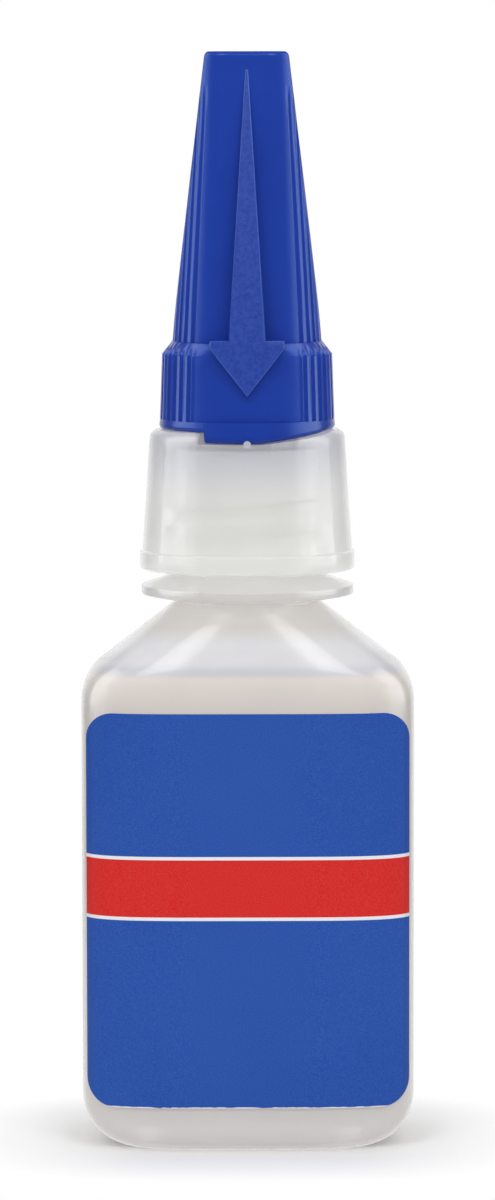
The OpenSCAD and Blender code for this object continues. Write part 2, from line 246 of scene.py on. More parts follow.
def snapped_angles(count: int, marks: Iterable[float], gap: float) -> list[float]:
    """Moves the columns nearest to each mark right up to its two sides, for a crisp step there.

    Args:
        count: Number of even columns to start from.
        marks: Angles of the steps, in degrees.
        gap: Angle from a mark to the column on each side of it.

    Returns:
        The angles, still in order round the circle.
    """
    angles = even_angles(count)
    spacing = FULL_TURN / count
    for mark in marks:
        below = math.floor((mark % FULL_TURN) / spacing)
        angles[below % count] = mark % FULL_TURN - gap
        angles[(below + 1) % count] = mark % FULL_TURN + gap
    return angles


def spun(profile: Profile, count: int, closed: bool) -> bmesh.types.BMesh:
    """Spins a profile round the axis.

    Args:
        profile: Radius and height of each point, in millimetres.
        count: Number of steps round the circle.
        closed: Whether the last point joins back to the first.

    Returns:
        The new mesh, with its doubles merged and its normals outwards.
    """
    bm = bmesh.new()
    verts = [bm.verts.new((r * MM, 0.0, z * MM)) for r, z in profile]
    pairs = list(zip(verts, verts[1:])) + ([(verts[-1], verts[0])] if closed else [])
    edges = [bm.edges.new(pair) for pair in pairs]
    bmesh.ops.spin(
        bm,
        geom=verts + edges,
        cent=(0, 0, 0),
        axis=(0, 0, 1),
        angle=math.tau,
        steps=count,
        use_merge=True,
    )
    bmesh.ops.remove_doubles(bm, verts=bm.verts, dist=MERGE_DIST)
    bmesh.ops.recalc_face_normals(bm, faces=bm.faces)
    return bm


def rounded(corners: Sequence[Corner], count: int = ROUND_STEPS) -> Profile:
    """Rounds the corners of an open profile.

    Args:
        corners: Radius, height and corner radius of each point, in millimetres.
        count: Number of segments on each rounded corner.

    Returns:
        The profile's points.
    """
    out: Profile = []
    for i, (r, z, corner) in enumerate(corners):
        here = Vector((r, z))
        if corner <= 0 or i in (0, len(corners) - 1):
            out.append((r, z))
            continue
        before = (Vector(corners[i - 1][:2]) - here).normalized()
        after = (Vector(corners[i + 1][:2]) - here).normalized()
        half = before.angle(after) / 2
        reach = corner / math.tan(half)
        centre = here + (before + after).normalized() * (corner / math.sin(half))
        start, end = here + before * reach - centre, here + after * reach - centre
        for share in steps(0.0, 1.0, count):
            spoke = start.slerp(end, share) * corner if start.angle(end) > STRAIGHT else start
            out.append(tuple(centre + spoke))
    return out


def bevelled(
    bm: bmesh.types.BMesh, geom: list[Any], width: float, count: int, affect: str
) -> list[bmesh.types.BMFace]:
    """Rounds vertices or edges.

    Args:
        bm: The mesh.
        geom: The vertices or edges to round.
        width: How far the bevel reaches.
        count: Number of its segments.
        affect: VERTICES or EDGES.

    Returns:
        The new faces.
    """
    made = bmesh.ops.bevel(
        bm,
        geom=geom,
        offset=width,
        offset_type="OFFSET",
        segments=count,
        profile=0.5,
        affect=affect,
        clamp_overlap=True,
        material=-1,
    )
    return made["faces"]


def slice_at(bm: bmesh.types.BMesh, spot: Point, across: Point) -> None:
    """Cuts every face of a mesh along the plane at a spot, square to a direction."""
    whole = bm.verts[:] + bm.edges[:] + bm.faces[:]
    bmesh.ops.bisect_plane(bm, geom=whole, plane_co=spot, plane_no=across)


def raise_sheet(bm: bmesh.types.BMesh) -> set[bmesh.types.BMVert]:
    """Extrudes a flat sheet, with material 0 on its raised face and 1 on the rest.

    Args:
        bm: The sheet.

    Returns:
        The vertices of the raised face.
    """
    made = bmesh.ops.extrude_face_region(bm, geom=bm.faces[:], use_keep_orig=True)["geom"]
    raised = {part for part in made if isinstance(part, bmesh.types.BMVert)}
    for face in bm.faces:
        face.material_index = 0 if raised.issuperset(face.verts) else 1
    return raised


def turn_to(bm: bmesh.types.BMesh, side: Side) -> None:
    """Turns a mesh that was made at the front to a side of the pack."""
    turn = Matrix.Rotation(math.radians(side.value), 3, "Z")
    bmesh.ops.rotate(bm, verts=bm.verts, cent=(0, 0, 0), matrix=turn)


def shade(bm: bmesh.types.BMesh, crease: float) -> None:
    """Shades a mesh smooth, apart from its sharp edges.

    Args:
        bm: The mesh.
        crease: Angle past which an edge stays sharp, in degrees.
    """
    for face in bm.faces:
        face.smooth = True
    for edge in bm.edges:
        if len(edge.link_faces) == 2:
            edge.smooth = edge.calc_face_angle() < math.radians(crease)


def put_in_order(bm: bmesh.types.BMesh) -> None:
    """Sorts edges and faces by their vertices, because operators may leave them in any order.

    Args:
        bm: The mesh.
    """
    bm.verts.index_update()
    count = len(bm.verts)

    def order(part: bmesh.types.BMEdge | bmesh.types.BMFace) -> int:
        """Works out where an edge or a face belongs.

        Args:
            part: The edge or face.

        Returns:
            A number made of its lowest vertices, which no other part has.
        """
        total = 0
        for index in sorted(vert.index for vert in part.verts)[:3]:
            total = total * count + index
        return total

    bm.edges.sort(key=order)
    bm.faces.sort(key=order)


def settle(
    bm: bmesh.types.BMesh,
    name: str,
    materials: Sequence[bpy.types.Material],
    crease: float = SHARP_EDGE,
) -> bpy.types.Object:
    """Turns a finished mesh into an object at the origin.

    Args:
        bm: The mesh, which is freed.
        name: Name of the piece.
        materials: The finishes, by material index.
        crease: Angle past which an edge stays sharp, in degrees.

    Returns:
        The linked object.
    """
    shade(bm, crease)
    put_in_order(bm)
    mesh = bpy.data.meshes.new(name)
    bm.to_mesh(mesh)
    bm.free()
    for material in materials:
        mesh.materials.append(material)
    piece = bpy.data.objects.new(name, mesh)
    bpy.context.scene.collection.objects.link(piece)
    return piece


def place(
    piece: bpy.types.Object, body: Body, node: str | None, sheer: bool = False
) -> bpy.types.Object:
    """Says what a piece rides on and which solid it stands for.

    Args:
        piece: The finished object.
        body: The body that it moves with.
        node: The solid that it replaces, or None for an added detail.
        sheer: Whether the lamps shine through it on what it holds.

    Returns:
        The same piece.
    """
    piece.visible_shadow = not sheer
    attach(piece, body.value)
    if node:
        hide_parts(node)
    return piece


# Shader graphs


class Sock:
    """A socket of a shader graph that takes part in Python sums."""

    def __init__(self, graph: Graph, socket: bpy.types.NodeSocket) -> None:
        """Keeps the graph and the socket."""
        self.graph = graph
        self.socket = socket

    def __add__(self, other: Any) -> Sock:
        """Adds a number or a socket."""
        return self.graph.math("ADD", self, other)

    def __radd__(self, other: Any) -> Sock:
        """Adds to a number."""
        return self.graph.math("ADD", other, self)

    def __sub__(self, other: Any) -> Sock:
        """Takes away a number or a socket."""
        return self.graph.math("SUBTRACT", self, other)

    def __rsub__(self, other: Any) -> Sock:
        """Takes the socket away from a number."""
        return self.graph.math("SUBTRACT", other, self)

    def __mul__(self, other: Any) -> Sock:
        """Multiplies by a number or a socket."""
        return self.graph.math("MULTIPLY", self, other)

    def __rmul__(self, other: Any) -> Sock:
        """Multiplies a number."""
        return self.graph.math("MULTIPLY", other, self)

    def __truediv__(self, other: Any) -> Sock:
        """Divides by a number or a socket."""
        return self.graph.math("DIVIDE", self, other)

    def __rtruediv__(self, other: Any) -> Sock:
        """Divides a number by the socket."""
        return self.graph.math("DIVIDE", other, self)

    def __abs__(self) -> Sock:
        """Drops the sign."""
        return self.graph.math("ABSOLUTE", self)

    def most(self, other: Any) -> Sock:
        """Returns the larger of two values."""
        return self.graph.math("MAXIMUM", self, other)

    def least(self, other: Any) -> Sock:
        """Returns the smaller of two values."""
        return self.graph.math("MINIMUM", self, other)

    def held(self) -> Sock:
        """Holds the value between 0 and 1."""
        return self.most(0.0).least(1.0)

    def raised(self, exponent: float) -> Sock:
        """Raises the value to a power."""
        return self.graph.math("POWER", self, exponent)

    def swing(self, spread: float) -> Sock:
        """Returns a noise pattern's swing about its middle, scaled by a spread."""
        return (self - NOISE_MIDDLE) * spread

    def patches(self, gain: float, cut: float) -> Sock:
        """Returns a pattern stretched by a gain, less a cut, and held between 0 and 1."""
        return (self * gain - cut).held()

    def blended(self, other: Sock, share: float) -> Sock:
        """Returns a share of this value with the rest from another."""
        return self * share + other * (1.0 - share)


class Graph:
    """The node graph of a material or of the world."""

    def __init__(self, owner: bpy.types.Material | bpy.types.World) -> None:
        """Empties the owner's graph.

        Args:
            owner: The material or world that the graph belongs to.
        """
        self.owner = owner
        owner.use_nodes = True
        self.tree = owner.node_tree
        self.tree.nodes.clear()

    @classmethod
    def of_material(cls, name: str) -> Graph:
        """Makes a new material with an empty graph."""
        return cls(bpy.data.materials.new(name))

    def node(
        self,
        kind: str,
        settings: dict[str, Any] | None = None,
        inputs: dict[str | int, Any] | None = None,
    ) -> bpy.types.Node:
        """Adds a node.

        Args:
            kind: The node's type, without its ShaderNode prefix.
            settings: Properties to set first; stops fill a ramp.
            inputs: Values or links of its sockets, by name or number.

        Returns:
            The new node.
        """
        made = self.tree.nodes.new("ShaderNode" + kind)
        for key, value in (settings or {}).items():
            if key == "stops":
                self._set_stops(made, value)
            else:
                setattr(made, key, value)
        for key, value in (inputs or {}).items():
            if isinstance(value, Sock):
                self.tree.links.new(value.socket, made.inputs[key])
            else:
                made.inputs[key].default_value = value
        return made

    def out(self, made: bpy.types.Node, name: str | int = 0) -> Sock:
        """Wraps one output of a node."""
        return Sock(self, made.outputs[name])

    def math(self, operation: str, *values: Any) -> Sock:
        """Adds a Math node on values and returns its result."""
        return self.out(self.node("Math", {"operation": operation}, dict(enumerate(values))))

    def spot(self) -> Sock:
        """Returns the place on the object."""
        return self.out(self.node("TexCoord"), "Object")

    def parts(self, vector: Sock) -> tuple[Sock, Sock, Sock]:
        """Splits a vector into its three parts."""
        split = self.node("SeparateXYZ", inputs={0: vector})
        return self.out(split, 0), self.out(split, 1), self.out(split, 2)

    def scaled(self, vector: Sock, by: Point) -> Sock:
        """Stretches a vector along its three parts."""
        return self.out(self.node("VectorMath", {"operation": "MULTIPLY"}, {0: vector, 1: by}))

    def noise(self, vector: Sock, scale: float, detail: float = 2.0, rough: float = 0.5) -> Sock:
        """Returns a noise pattern between about 0 and 1.

        Args:
            vector: Where the pattern is read.
            scale: Number of blobs to a metre.
            detail: Number of finer layers.
            rough: How strong the finer layers are.

        Returns:
            The pattern's value.
        """
        inputs = {"Vector": vector, "Scale": scale, "Detail": detail, "Roughness": rough}
        return self.out(self.node("TexNoise", inputs=inputs))

    def ramp(self, share: Sock, stops: Sequence[tuple[float, Paint]]) -> Sock:
        """Returns the colour that a ramp has at a share of its length."""
        return self.out(self.node("ValToRGB", {"stops": stops}, {"Fac": share}))

    def mix(self, share: Any, a: Any, b: Any) -> Sock:
        """Mixes two colours.

        Args:
            share: How much of the second colour shows.
            a: The first colour.
            b: The second colour.

        Returns:
            The mixed colour.
        """
        made = self.node("Mix", {"data_type": "RGBA"}, {0: share, MIX_FIRST: a, MIX_SECOND: b})
        return self.out(made, 2)

    def bump(self, height: Sock, strength: float, distance: float) -> Sock:
        """Returns a normal that follows a height, in metres.

        Args:
            height: The pattern, between 0 and 1.
            strength: How strongly it tilts the surface.
            distance: Height of the pattern.

        Returns:
            The bumped normal.
        """
        inputs = {"Strength": strength, "Distance": distance, "Height": height}
        return self.out(self.node("Bump", inputs=inputs), "Normal")

    def finish(self, shader: bpy.types.Node, output: str = "OutputMaterial") -> bpy.types.Material:
        """Joins a shader to an output of the given type and returns the graph's owner."""
        self.node(output, inputs={"Surface": self.out(shader)})
        return self.owner

    @staticmethod
    def _set_stops(ramp_node: bpy.types.Node, stops: Sequence[tuple[float, Paint]]) -> None:
        """Sets the stops of a colour ramp.

        Args:
            ramp_node: The ramp's node.
            stops: Place and colour of each stop.
        """
        ramp = ramp_node.color_ramp
        while len(ramp.elements) < len(stops):
            ramp.elements.new(1.0)
        for element, (where, paint) in zip(ramp.elements, stops):
            element.position = where
            element.color = paint


def colour(tone: Tone) -> Paint:
    """Turns a screen colour, from 0 to 255, into the renderer's linear one."""
    screen = Color([level / SCREEN_WHITE for level in tone])
    return (*screen.from_srgb_to_scene_linear(), 1.0)


# Finishes


class Finish:
    """A finish that is one principled shader."""

    def sockets(self, g: Graph) -> dict[str, Any]:
        """Returns the values and links of the shader's sockets, by name."""
        raise NotImplementedError

    def material(self, name: str) -> bpy.types.Material:
        """Makes a new material of the finish."""
        g = Graph.of_material(name)
        return g.finish(g.node("BsdfPrincipled", inputs=self.sockets(g)))


@dataclass(frozen=True)
class NaturalPlastic(Finish):
    """Uncoloured moulded plastic: a milky body under a smooth skin.

    Each level is a height in millimetres, with the tone and the density of the plastic there; some
    of those tones are painted shade and painted reflection.
    """

    skin_gloss: float
    levels: tuple[tuple[float, Tone, float], ...]
    top: float = 110.0
    shade_tone: Tone = (214, 213, 212)
    shading: float = 0.35
    milkiness: float = 0.3
    clearness: float = 0.12
    ior: float = 1.35
    skin: float = 0.9
    skin_ior: float = 1.5
    cloud_scale: float = 110.0
    cloud_detail: float = 3.0
    cloud_gain: float = 1.4
    cloud_cut: float = 0.45
    cloud_swing: float = 0.05
    streak_scale: float = 700.0
    streak_pull: float = 0.12
    streak_share: float = 0.25
    grain_scale: float = 5200.0
    grain_swing: float = 0.06
    grain_relief: float = 0.6
    relief: float = 0.1
    relief_h: float = 0.01

    def sockets(self, g: Graph) -> dict[str, Any]:
        """Lays out the milky tone with its painted shade and reflections by height, the density by
        height and the smooth skin.

        Args:
            g: The material's graph.

        Returns:
            The values and links, by socket.
        """
        spot = g.spot()
        cloud = g.noise(spot, self.cloud_scale, self.cloud_detail)
        streak = g.noise(g.scaled(spot, (1.0, 1.0, self.streak_pull)), self.streak_scale)
        grain = g.noise(spot, self.grain_scale)
        stain = cloud * self.cloud_gain - self.cloud_cut + streak * self.streak_share
        height = g.parts(spot)[2] / (self.top * MM)
        # The ramp of tones holds painted shade and painted reflections as well as the plastic's own
        # tone.
        tones_and_painted_light = [(z / self.top, colour(tone)) for z, tone, _ in self.levels]
        milk = [(z / self.top, (dense, dense, dense, 1.0)) for z, _, dense in self.levels]
        base = g.mix(stain.held() * self.shading, g.ramp(height, tones_and_painted_light), colour(self.shade_tone))
        rough = self.milkiness + grain.swing(self.grain_swing) + cloud.swing(self.cloud_swing)
        relief = grain.blended(streak, self.grain_relief)
        return {
            "Base Color": base,
            "Roughness": rough,
            "IOR": self.ior,
            "Transmission Weight": self.clearness,
            "Alpha": g.ramp(height, milk),
            "Coat Weight": self.skin,
            "Coat Roughness": self.skin_gloss,
            "Coat IOR": self.skin_ior,
            "Normal": g.bump(relief, self.relief, self.relief_h * MM),
        }


BLOWN = NaturalPlastic(
    skin_gloss=0.13,
    levels=(
        (1.0, (232, 227, 224), 0.9),
        # The body is darker from 6 to 41 mm: partly the liquid's warm tint behind the wall, partly
        # painted shade on its sides.
        (6.0, (226, 221, 218), 0.8),
        (41.0, (227, 222, 218), 0.8),
        (45.6, (239, 233, 227), 0.74),
        # Painted shade and reflection: a dark bluish line at the liquid's level, where its surface
        # meets the wall.
        (46.15, (202, 207, 222), 0.74),
        # Above the liquid the wall is paler and bluish: partly the air behind it, partly a painted
        # reflection on the up-facing shoulder.
        (46.9, (237, 239, 246), 0.6),
        (48.6, (237, 238, 243), 0.61),
        # Painted shade on the shoulder under the support ring and on the ring itself, since the
        # shell casts no shadow.
        (50.3, (219, 216, 212), 0.66),
        (51.5, (223, 221, 217), 0.66),
        (53.0, (221, 220, 217), 0.78),
        (56.4, (239, 239, 238), 0.78),
        # Painted shade on the neck inside the collar, held on up the mouth and the bore.
        (57.4, (216, 215, 211), 0.92),
    ),
)
MOULDED = NaturalPlastic(
    skin_gloss=0.07,
    levels=(
        (55.0, (243, 243, 240), 0.6),
        (62.5, (243, 243, 241), 0.55),
        # Painted reflection and shade of the blue cap: the collar darkens and turns bluish towards
        # its rim.
        (67.0, (213, 214, 224), 0.58),
    ),
)
INSERT = NaturalPlastic(
    skin_gloss=0.22,
    levels=(
        (57.0, (240, 240, 237), 0.8),
        (99.0, (241, 241, 239), 0.86),
    ),
)


@dataclass(frozen=True)
class ClearLiquid(Finish):
    """Thin clear adhesive with a faint warm tint."""

    tone: Tone = (240, 218, 202)
    pale_tone: Tone = (243, 225, 211)
    density: float = 0.75
    gloss: float = 0.06
    ior: float = 1.44
    drift_scale: float = 160.0

    def sockets(self, g: Graph) -> dict[str, Any]:
        """Lays out the drifting tint.

        Args:
            g: The material's graph.

        Returns:
            The values and links, by socket.
        """
        drift = g.noise(g.spot(), self.drift_scale)
        return {
            "Base Color": g.mix(drift, colour(self.tone), colour(self.pale_tone)),
            "Roughness": self.gloss,
            "IOR": self.ior,
            "Alpha": self.density,
        }


@dataclass(frozen=True)
class CapPlastic(Finish):
    """Deep blue moulded plastic, glossy."""

    tone: Tone = (28, 62, 169)
    deep_tone: Tone = (23, 53, 156)
    gloss: float = 0.25
    ior: float = 1.49
    sheen_tint: Paint = (0.5, 0.75, 1.0, 1.0)
    cloud_scale: float = 130.0
    cloud_detail: float = 3.0
    cloud_gain: float = 1.5
    cloud_cut: float = 0.4
    draw_scale: float = 1500.0
    draw_pull: float = 0.05
    draw_swing: float = 0.06
    draw_relief: float = 0.5
    grain_scale: float = 4200.0
    grain_swing: float = 0.04
    relief: float = 0.12
    relief_h: float = 0.02

    def sockets(self, g: Graph) -> dict[str, Any]:
        """Lays out the cloudy blue and the fine marks of the mould's draw.

        Args:
            g: The material's graph.

        Returns:
            The values and links, by socket.
        """
        spot = g.spot()
        cloud = g.noise(spot, self.cloud_scale, self.cloud_detail)
        draw = g.noise(g.scaled(spot, (1.0, 1.0, self.draw_pull)), self.draw_scale)
        grain = g.noise(spot, self.grain_scale)
        deep = cloud.patches(self.cloud_gain, self.cloud_cut)
        relief = draw.blended(grain, self.draw_relief)
        return {
            "Base Color": g.mix(deep, colour(self.tone), colour(self.deep_tone)),
            "Roughness": self.gloss + draw.swing(self.draw_swing) + grain.swing(self.grain_swing),
            "IOR": self.ior,
            "Specular Tint": self.sheen_tint,
            "Normal": g.bump(relief, self.relief, self.relief_h * MM),
        }


# A lighter blue for the arrows' bevelled edges: a painted highlight along them.
PAINTED_EDGE_HIGHLIGHT = CapPlastic(tone=(60, 92, 182), deep_tone=(46, 78, 172))


@dataclass(frozen=True)
class EtchedPlastic(Finish):
    """The same blue plastic with a spark-etched matt surface, on the arrow."""

    tone: Tone = (38, 74, 172)
    pit_tone: Tone = (22, 55, 156)
    gloss: float = 0.5
    ior: float = 1.49
    sheen: float = 0.35
    coarse_scale: float = 2400.0
    coarse_detail: float = 3.0
    coarse_rough: float = 0.65
    coarse_relief: float = 0.7
    pit_gain: float = 3.0
    pit_cut: float = 1.0
    fine_scale: float = 6000.0
    fine_swing: float = 0.2
    relief: float = 0.55
    relief_h: float = 0.05

    def sockets(self, g: Graph) -> dict[str, Any]:
        """Lays out the pitted blue.

        Args:
            g: The material's graph.

        Returns:
            The values and links, by socket.
        """
        spot = g.spot()
        coarse = g.noise(spot, self.coarse_scale, self.coarse_detail, self.coarse_rough)
        fine = g.noise(spot, self.fine_scale)
        pits = coarse.patches(self.pit_gain, self.pit_cut)
        relief = coarse.blended(fine, self.coarse_relief)
        return {
            "Base Color": g.mix(pits, colour(self.tone), colour(self.pit_tone)),
            "Roughness": self.gloss + fine.swing(self.fine_swing),
            "IOR": self.ior,
            "Specular IOR Level": self.sheen,
            "Normal": g.bump(relief, self.relief, self.relief_h * MM),
        }


@dataclass(frozen=True)
class PrintedFilm(Finish):
    """Printed label film: a blue ground with a red band between white rules."""

    foot: float
    ground: Tone = (38, 84, 172)
    deep_ground: Tone = (32, 77, 166)
    band: Tone = (214, 40, 35)
    paper: Tone = (236, 236, 240)
    band_low: float = 22.8
    band_high: float = 28.3
    rule_h: float = 0.32
    border_h: float = 0.1
    soft_edge: float = 0.05
    gloss: float = 0.42
    ior: float = 1.46
    sheen: float = 0.02
    cloud_scale: float = 75.0
    cloud_detail: float = 3.0
    cloud_gain: float = 1.6
    cloud_cut: float = 0.4
    cloud_swing: float = 0.06
    grain_scale: float = 9000.0
    grain_swing: float = 0.08
    speck_gain: float = 0.1
    speck_cut: float = 0.035
    peel_scale: float = 900.0
    peel_relief: float = 0.7
    rag_gain: float = 3.0
    rag_cut: float = 0.6
    relief: float = 0.08
    relief_h: float = 0.02

    def sockets(self, g: Graph) -> dict[str, Any]:
        """Lays out the ground, the rules, the band and the ragged white cut at the foot.

        Args:
            g: The material's graph.

        Returns:
            The values and links, by socket.
        """
        spot = g.spot()
        z = g.parts(spot)[2] / MM
        cloud = g.noise(spot, self.cloud_scale, self.cloud_detail)
        grain = g.noise(spot, self.grain_scale)
        peel = g.noise(spot, self.peel_scale)
        away = abs(z - (self.band_low + self.band_high) / 2)
        half = (self.band_high - self.band_low) / 2
        deep = cloud.patches(self.cloud_gain, self.cloud_cut)
        rag = self.border_h * peel.patches(self.rag_gain, self.rag_cut)
        relief = peel.blended(grain, self.peel_relief)
        paper = colour(self.paper)
        ink = g.mix(deep, colour(self.ground), colour(self.deep_ground))
        ruled = g.mix(self._inside(away, half + self.rule_h), ink, paper)
        banded = g.mix(self._inside(away, half), ruled, colour(self.band))
        printed = g.mix(self._inside(z - self.foot, rag), banded, paper)
        return {
            "Base Color": g.mix(grain.patches(self.speck_gain, self.speck_cut), printed, paper),
            "Roughness": self.gloss + grain.swing(self.grain_swing) + cloud.swing(self.cloud_swing),
            "IOR": self.ior,
            "Specular IOR Level": self.sheen,
            "Normal": g.bump(relief, self.relief, self.relief_h * MM),
        }

    def _inside(self, away: Sock, half: float | Sock) -> Sock:
        """Returns 1 where a distance is under half, with a narrow soft edge."""
        return ((half - away) / self.soft_edge + 0.5).held()


@dataclass(frozen=True)
class FilmStock(Finish):
    """White film stock, seen at a label's cut edge and on its back."""

    tone: Tone = (232, 231, 230)
    deep_tone: Tone = (222, 220, 218)
    gloss: float = 0.5
    fibre_scale: float = 2600.0
    fibre_gloss: float = 0.15

    def sockets(self, g: Graph) -> dict[str, Any]:
        """Lays out the fibrous white.

        Args:
            g: The material's graph.

        Returns:
            The values and links, by socket.
        """
        fibre = g.noise(g.spot(), self.fibre_scale)
        return {
            "Base Color": g.mix(fibre, colour(self.tone), colour(self.deep_tone)),
            "Roughness": self.gloss + fibre * self.fibre_gloss,
        }


@dataclass(frozen=True)
class DrawnSteel(Finish):
    """Bright drawn wire with fine marks along it."""

    tone: Tone = (205, 206, 210)
    deep_tone: Tone = (176, 178, 184)
    gloss: float = 0.2
    line_scale: float = 30000.0
    line_detail: float = 3.0
    line_pull: float = 0.02
    line_gloss: float = 0.16
    relief: float = 0.1
    relief_h: float = 0.01

    def sockets(self, g: Graph) -> dict[str, Any]:
        """Lays out the drawn lines.

        Args:
            g: The material's graph.

        Returns:
            The values and links, by socket.
        """
        along = g.scaled(g.spot(), (1.0, 1.0, self.line_pull))
        lines = g.noise(along, self.line_scale, self.line_detail)
        return {
            "Base Color": g.mix(lines, colour(self.tone), colour(self.deep_tone)),
            "Metallic": 1.0,
            "Roughness": self.gloss + lines * self.line_gloss,
            "Normal": g.bump(lines, self.relief, self.relief_h * MM),
        }


# Sub-assemblies


@dataclass
class Thread:
    """A helical ridge on a round wall."""

    wall_r: float
    crest_r: float
    start_z: float
    pitch: float
    turns: float = 1.25
    root_share: float = 0.5
    crest_share: float = 0.27
    fade_share: float = 0.08
    end_share: float = 0.2

    def radius(self, angle: float, z: float) -> float:
        """Works out the wall's radius with the ridge on it.

        Args:
            angle: Angle from the thread's start, in degrees.
            z: Height.

        Returns:
            The radius there.
        """
        most = 0.0
        root, crest = self.pitch * self.root_share / 2, self.pitch * self.crest_share / 2
        for lap in range(math.ceil(self.turns)):
            turned = angle % FULL_TURN + FULL_TURN * lap
            along = turned / (FULL_TURN * self.turns)
            if along > 1.0:
                continue
            away = abs(z - self.start_z - self.pitch * turned / FULL_TURN)
            grown = min(1.0, along / self.fade_share, (1.0 - along) / self.fade_share)
            height = blend(self.end_share, 1.0, grown) * clamp((root - away) / (root - crest))
            most = max(most, height)
        return blend(self.wall_r, self.crest_r, most)


@dataclass
class Bottle:
    """The blown bottle: foot, heel, flat oval body, shoulder, support ring and threaded neck."""

    width: float = 32.0
    depth: float = 19.0
    straight_h: float = 42.9
    section_power: float = 4.4
    wall: float = 1.2
    heel_side_r: float = 5.0
    heel_front_r: float = 2.0
    foot_w: float = 2.2
    foot_rise: float = 0.8
    hollow_flat: tuple[float, float] = (3.0, 2.0)
    hollow_curve: tuple[tuple[float, float], ...] = (
        (1.25, 1.0),
        (1.0, 0.94),
        (0.8, 0.8),
        (0.2, 0.2),
        (0.06, 0.05),
        (-0.1, 0.0),
    )
    slope: float = 38.5
    shoulder_r: float = 4.6
    shoulder_sink: float = 0.5
    air_h: float = 6.1
    neck_r: float = 7.0
    bore_r: float = 4.8
    throat_step: float = 0.4
    neck_h: float = 9.8
    ring_r: float = 10.2
    ring_foot: float = 0.12
    ring_edge: float = 0.85
    ring_under: float = 0.6
    ring_over: float = 1.1
    thread_h: float = 0.9
    thread_start_share: float = 0.6
    thread_lead: float = 0.6
    thread_end: float = 0.4
    pitch: float = 3.0
    edge_r: float = 0.18
    neck_lead: float = 0.4
    mouth_r: float = 0.25
    mouth_lead: float = 0.35
    mouth_depth: float = 1.0
    bore_lead: float = 2.0
    bore_end: float = 0.2
    columns: int = 192
    heel_steps: int = 14
    wall_steps: int = 8
    arc_steps: int = 14
    slope_steps: int = 14
    thread_steps: int = 56
    bore_steps: int = 4
    inner_heel_steps: int = 12
    inner_arc_steps: int = 12
    inner_slope_steps: int = 10

    @property
    def turn(self) -> float:
        """Angle through which the shoulder's round turns."""
        return QUARTER_TURN - self.slope

    @property
    def floor_z(self) -> float:
        """Height of the inside floor."""
        return self.foot_rise + self.wall

    @property
    def neck_z(self) -> float:
        """Height at which the shoulder meets the neck."""
        return self.slope_z(0.0, self.neck_r)

    @property
    def ring_tip_z(self) -> float:
        """Height of the support ring's lower rim."""
        return self.neck_z + self.ring_foot + self.ring_under

    @property
    def ring_top_z(self) -> float:
        """Height of the support ring's top at the neck."""
        return self.ring_tip_z + self.ring_edge + self.ring_over

    @property
    def mouth_z(self) -> float:
        """Height of the mouth."""
        return self.neck_z + self.neck_h

    @property
    def fill_z(self) -> float:
        """Height of the adhesive."""
        return self.neck_z - self.air_h

    @property
    def thread_z(self) -> float:
        """Height at which the thread starts."""
        return self.ring_top_z + self.pitch * self.thread_start_share

    @property
    def throat_r(self) -> float:
        """Radius at which the inside of the shoulder ends."""
        return self.bore_r + self.throat_step

    def slope_z(self, inset: float, radius: float) -> float:
        """Works out where the shoulder reaches a radius.

        Args:
            inset: How far the wall is drawn in.
            radius: The radius.

        Returns:
            The height there.
        """
        r = self.shoulder_r - inset
        arc_end = self.width / 2 - inset - r * (1 - cos_deg(self.turn))
        rise = (arc_end - radius) * math.tan(math.radians(self.slope))
        return self.straight_h + r * sin_deg(self.turn) + rise

    def section(self, angle: float, inset_x: float, inset_y: float) -> tuple[float, float]:
        """Works out a point of the body's section.

        Args:
            angle: The section's running angle, in degrees.
            inset_x: How far it is drawn in across the width.
            inset_y: How far it is drawn in across the depth.

        Returns:
            The point's x and y.
        """
        exponent = 2.0 / self.section_power
        return (
            (self.width / 2 - inset_x) * power(cos_deg(angle), exponent),
            (self.depth / 2 - inset_y) * power(sin_deg(angle), exponent),
        )

    def ring(
        self, z: float, inset: tuple[float, float], share: float = 0.0, circle_r: float = 0.0
    ) -> Ring:
        """Draws a ring part way from the body's section to a circle.

        Args:
            z: Height.
            inset: How far the section is drawn in each way.
            share: How far the ring has become a circle.
            circle_r: Radius of that circle.

        Returns:
            The ring.
        """
        circle = self.turned(circle_r, z)

        def at(angle: float) -> Point:
            """Finds a point of the ring.

            Args:
                angle: The section's running angle, in degrees.

            Returns:
                The point there.
            """
            x, y = self.section(angle, *inset)
            circle_x, circle_y, _ = circle(angle)
            return (blend(x, circle_x, share), blend(y, circle_y, share), z)

        return at

    def turned(self, radius: float, z: float) -> Ring:
        """Returns a circle that runs with the section's angle."""
        return lambda angle: (radius * cos_deg(angle), radius * sin_deg(angle), z)

    def no_closer(self, ring: Ring, radius: float) -> Ring:
        """Pushes the points of a ring out to a radius at least.

        Args:
            ring: The ring.
            radius: The least distance from the axis.

        Returns:
            The pushed ring.
        """

        def at(angle: float) -> Point:
            """Finds a pushed point.

            Args:
                angle: The section's running angle, in degrees.

            Returns:
                The point there.
            """
            x, y, z = ring(angle)
            away = math.hypot(x, y)
            return (x, y, z) if away >= radius else (x * radius / away, y * radius / away, z)

        return at

    def foot_rings(self) -> list[Ring]:
        """Draws the hollow under the base and the rim round it.

        Returns:
            The rings, from the hollow's flat out to the rim.
        """
        x, y = self.heel_side_r + self.foot_w, self.heel_front_r + self.foot_w
        rise = self.foot_rise
        flat_x, flat_y = self.hollow_flat
        rings = [self.ring(rise, (x + rise + flat_x, y + rise + flat_y))]
        for share, height in self.hollow_curve:
            rings.append(self.ring(rise * height, (x + rise * share, y + rise * share)))
        return rings

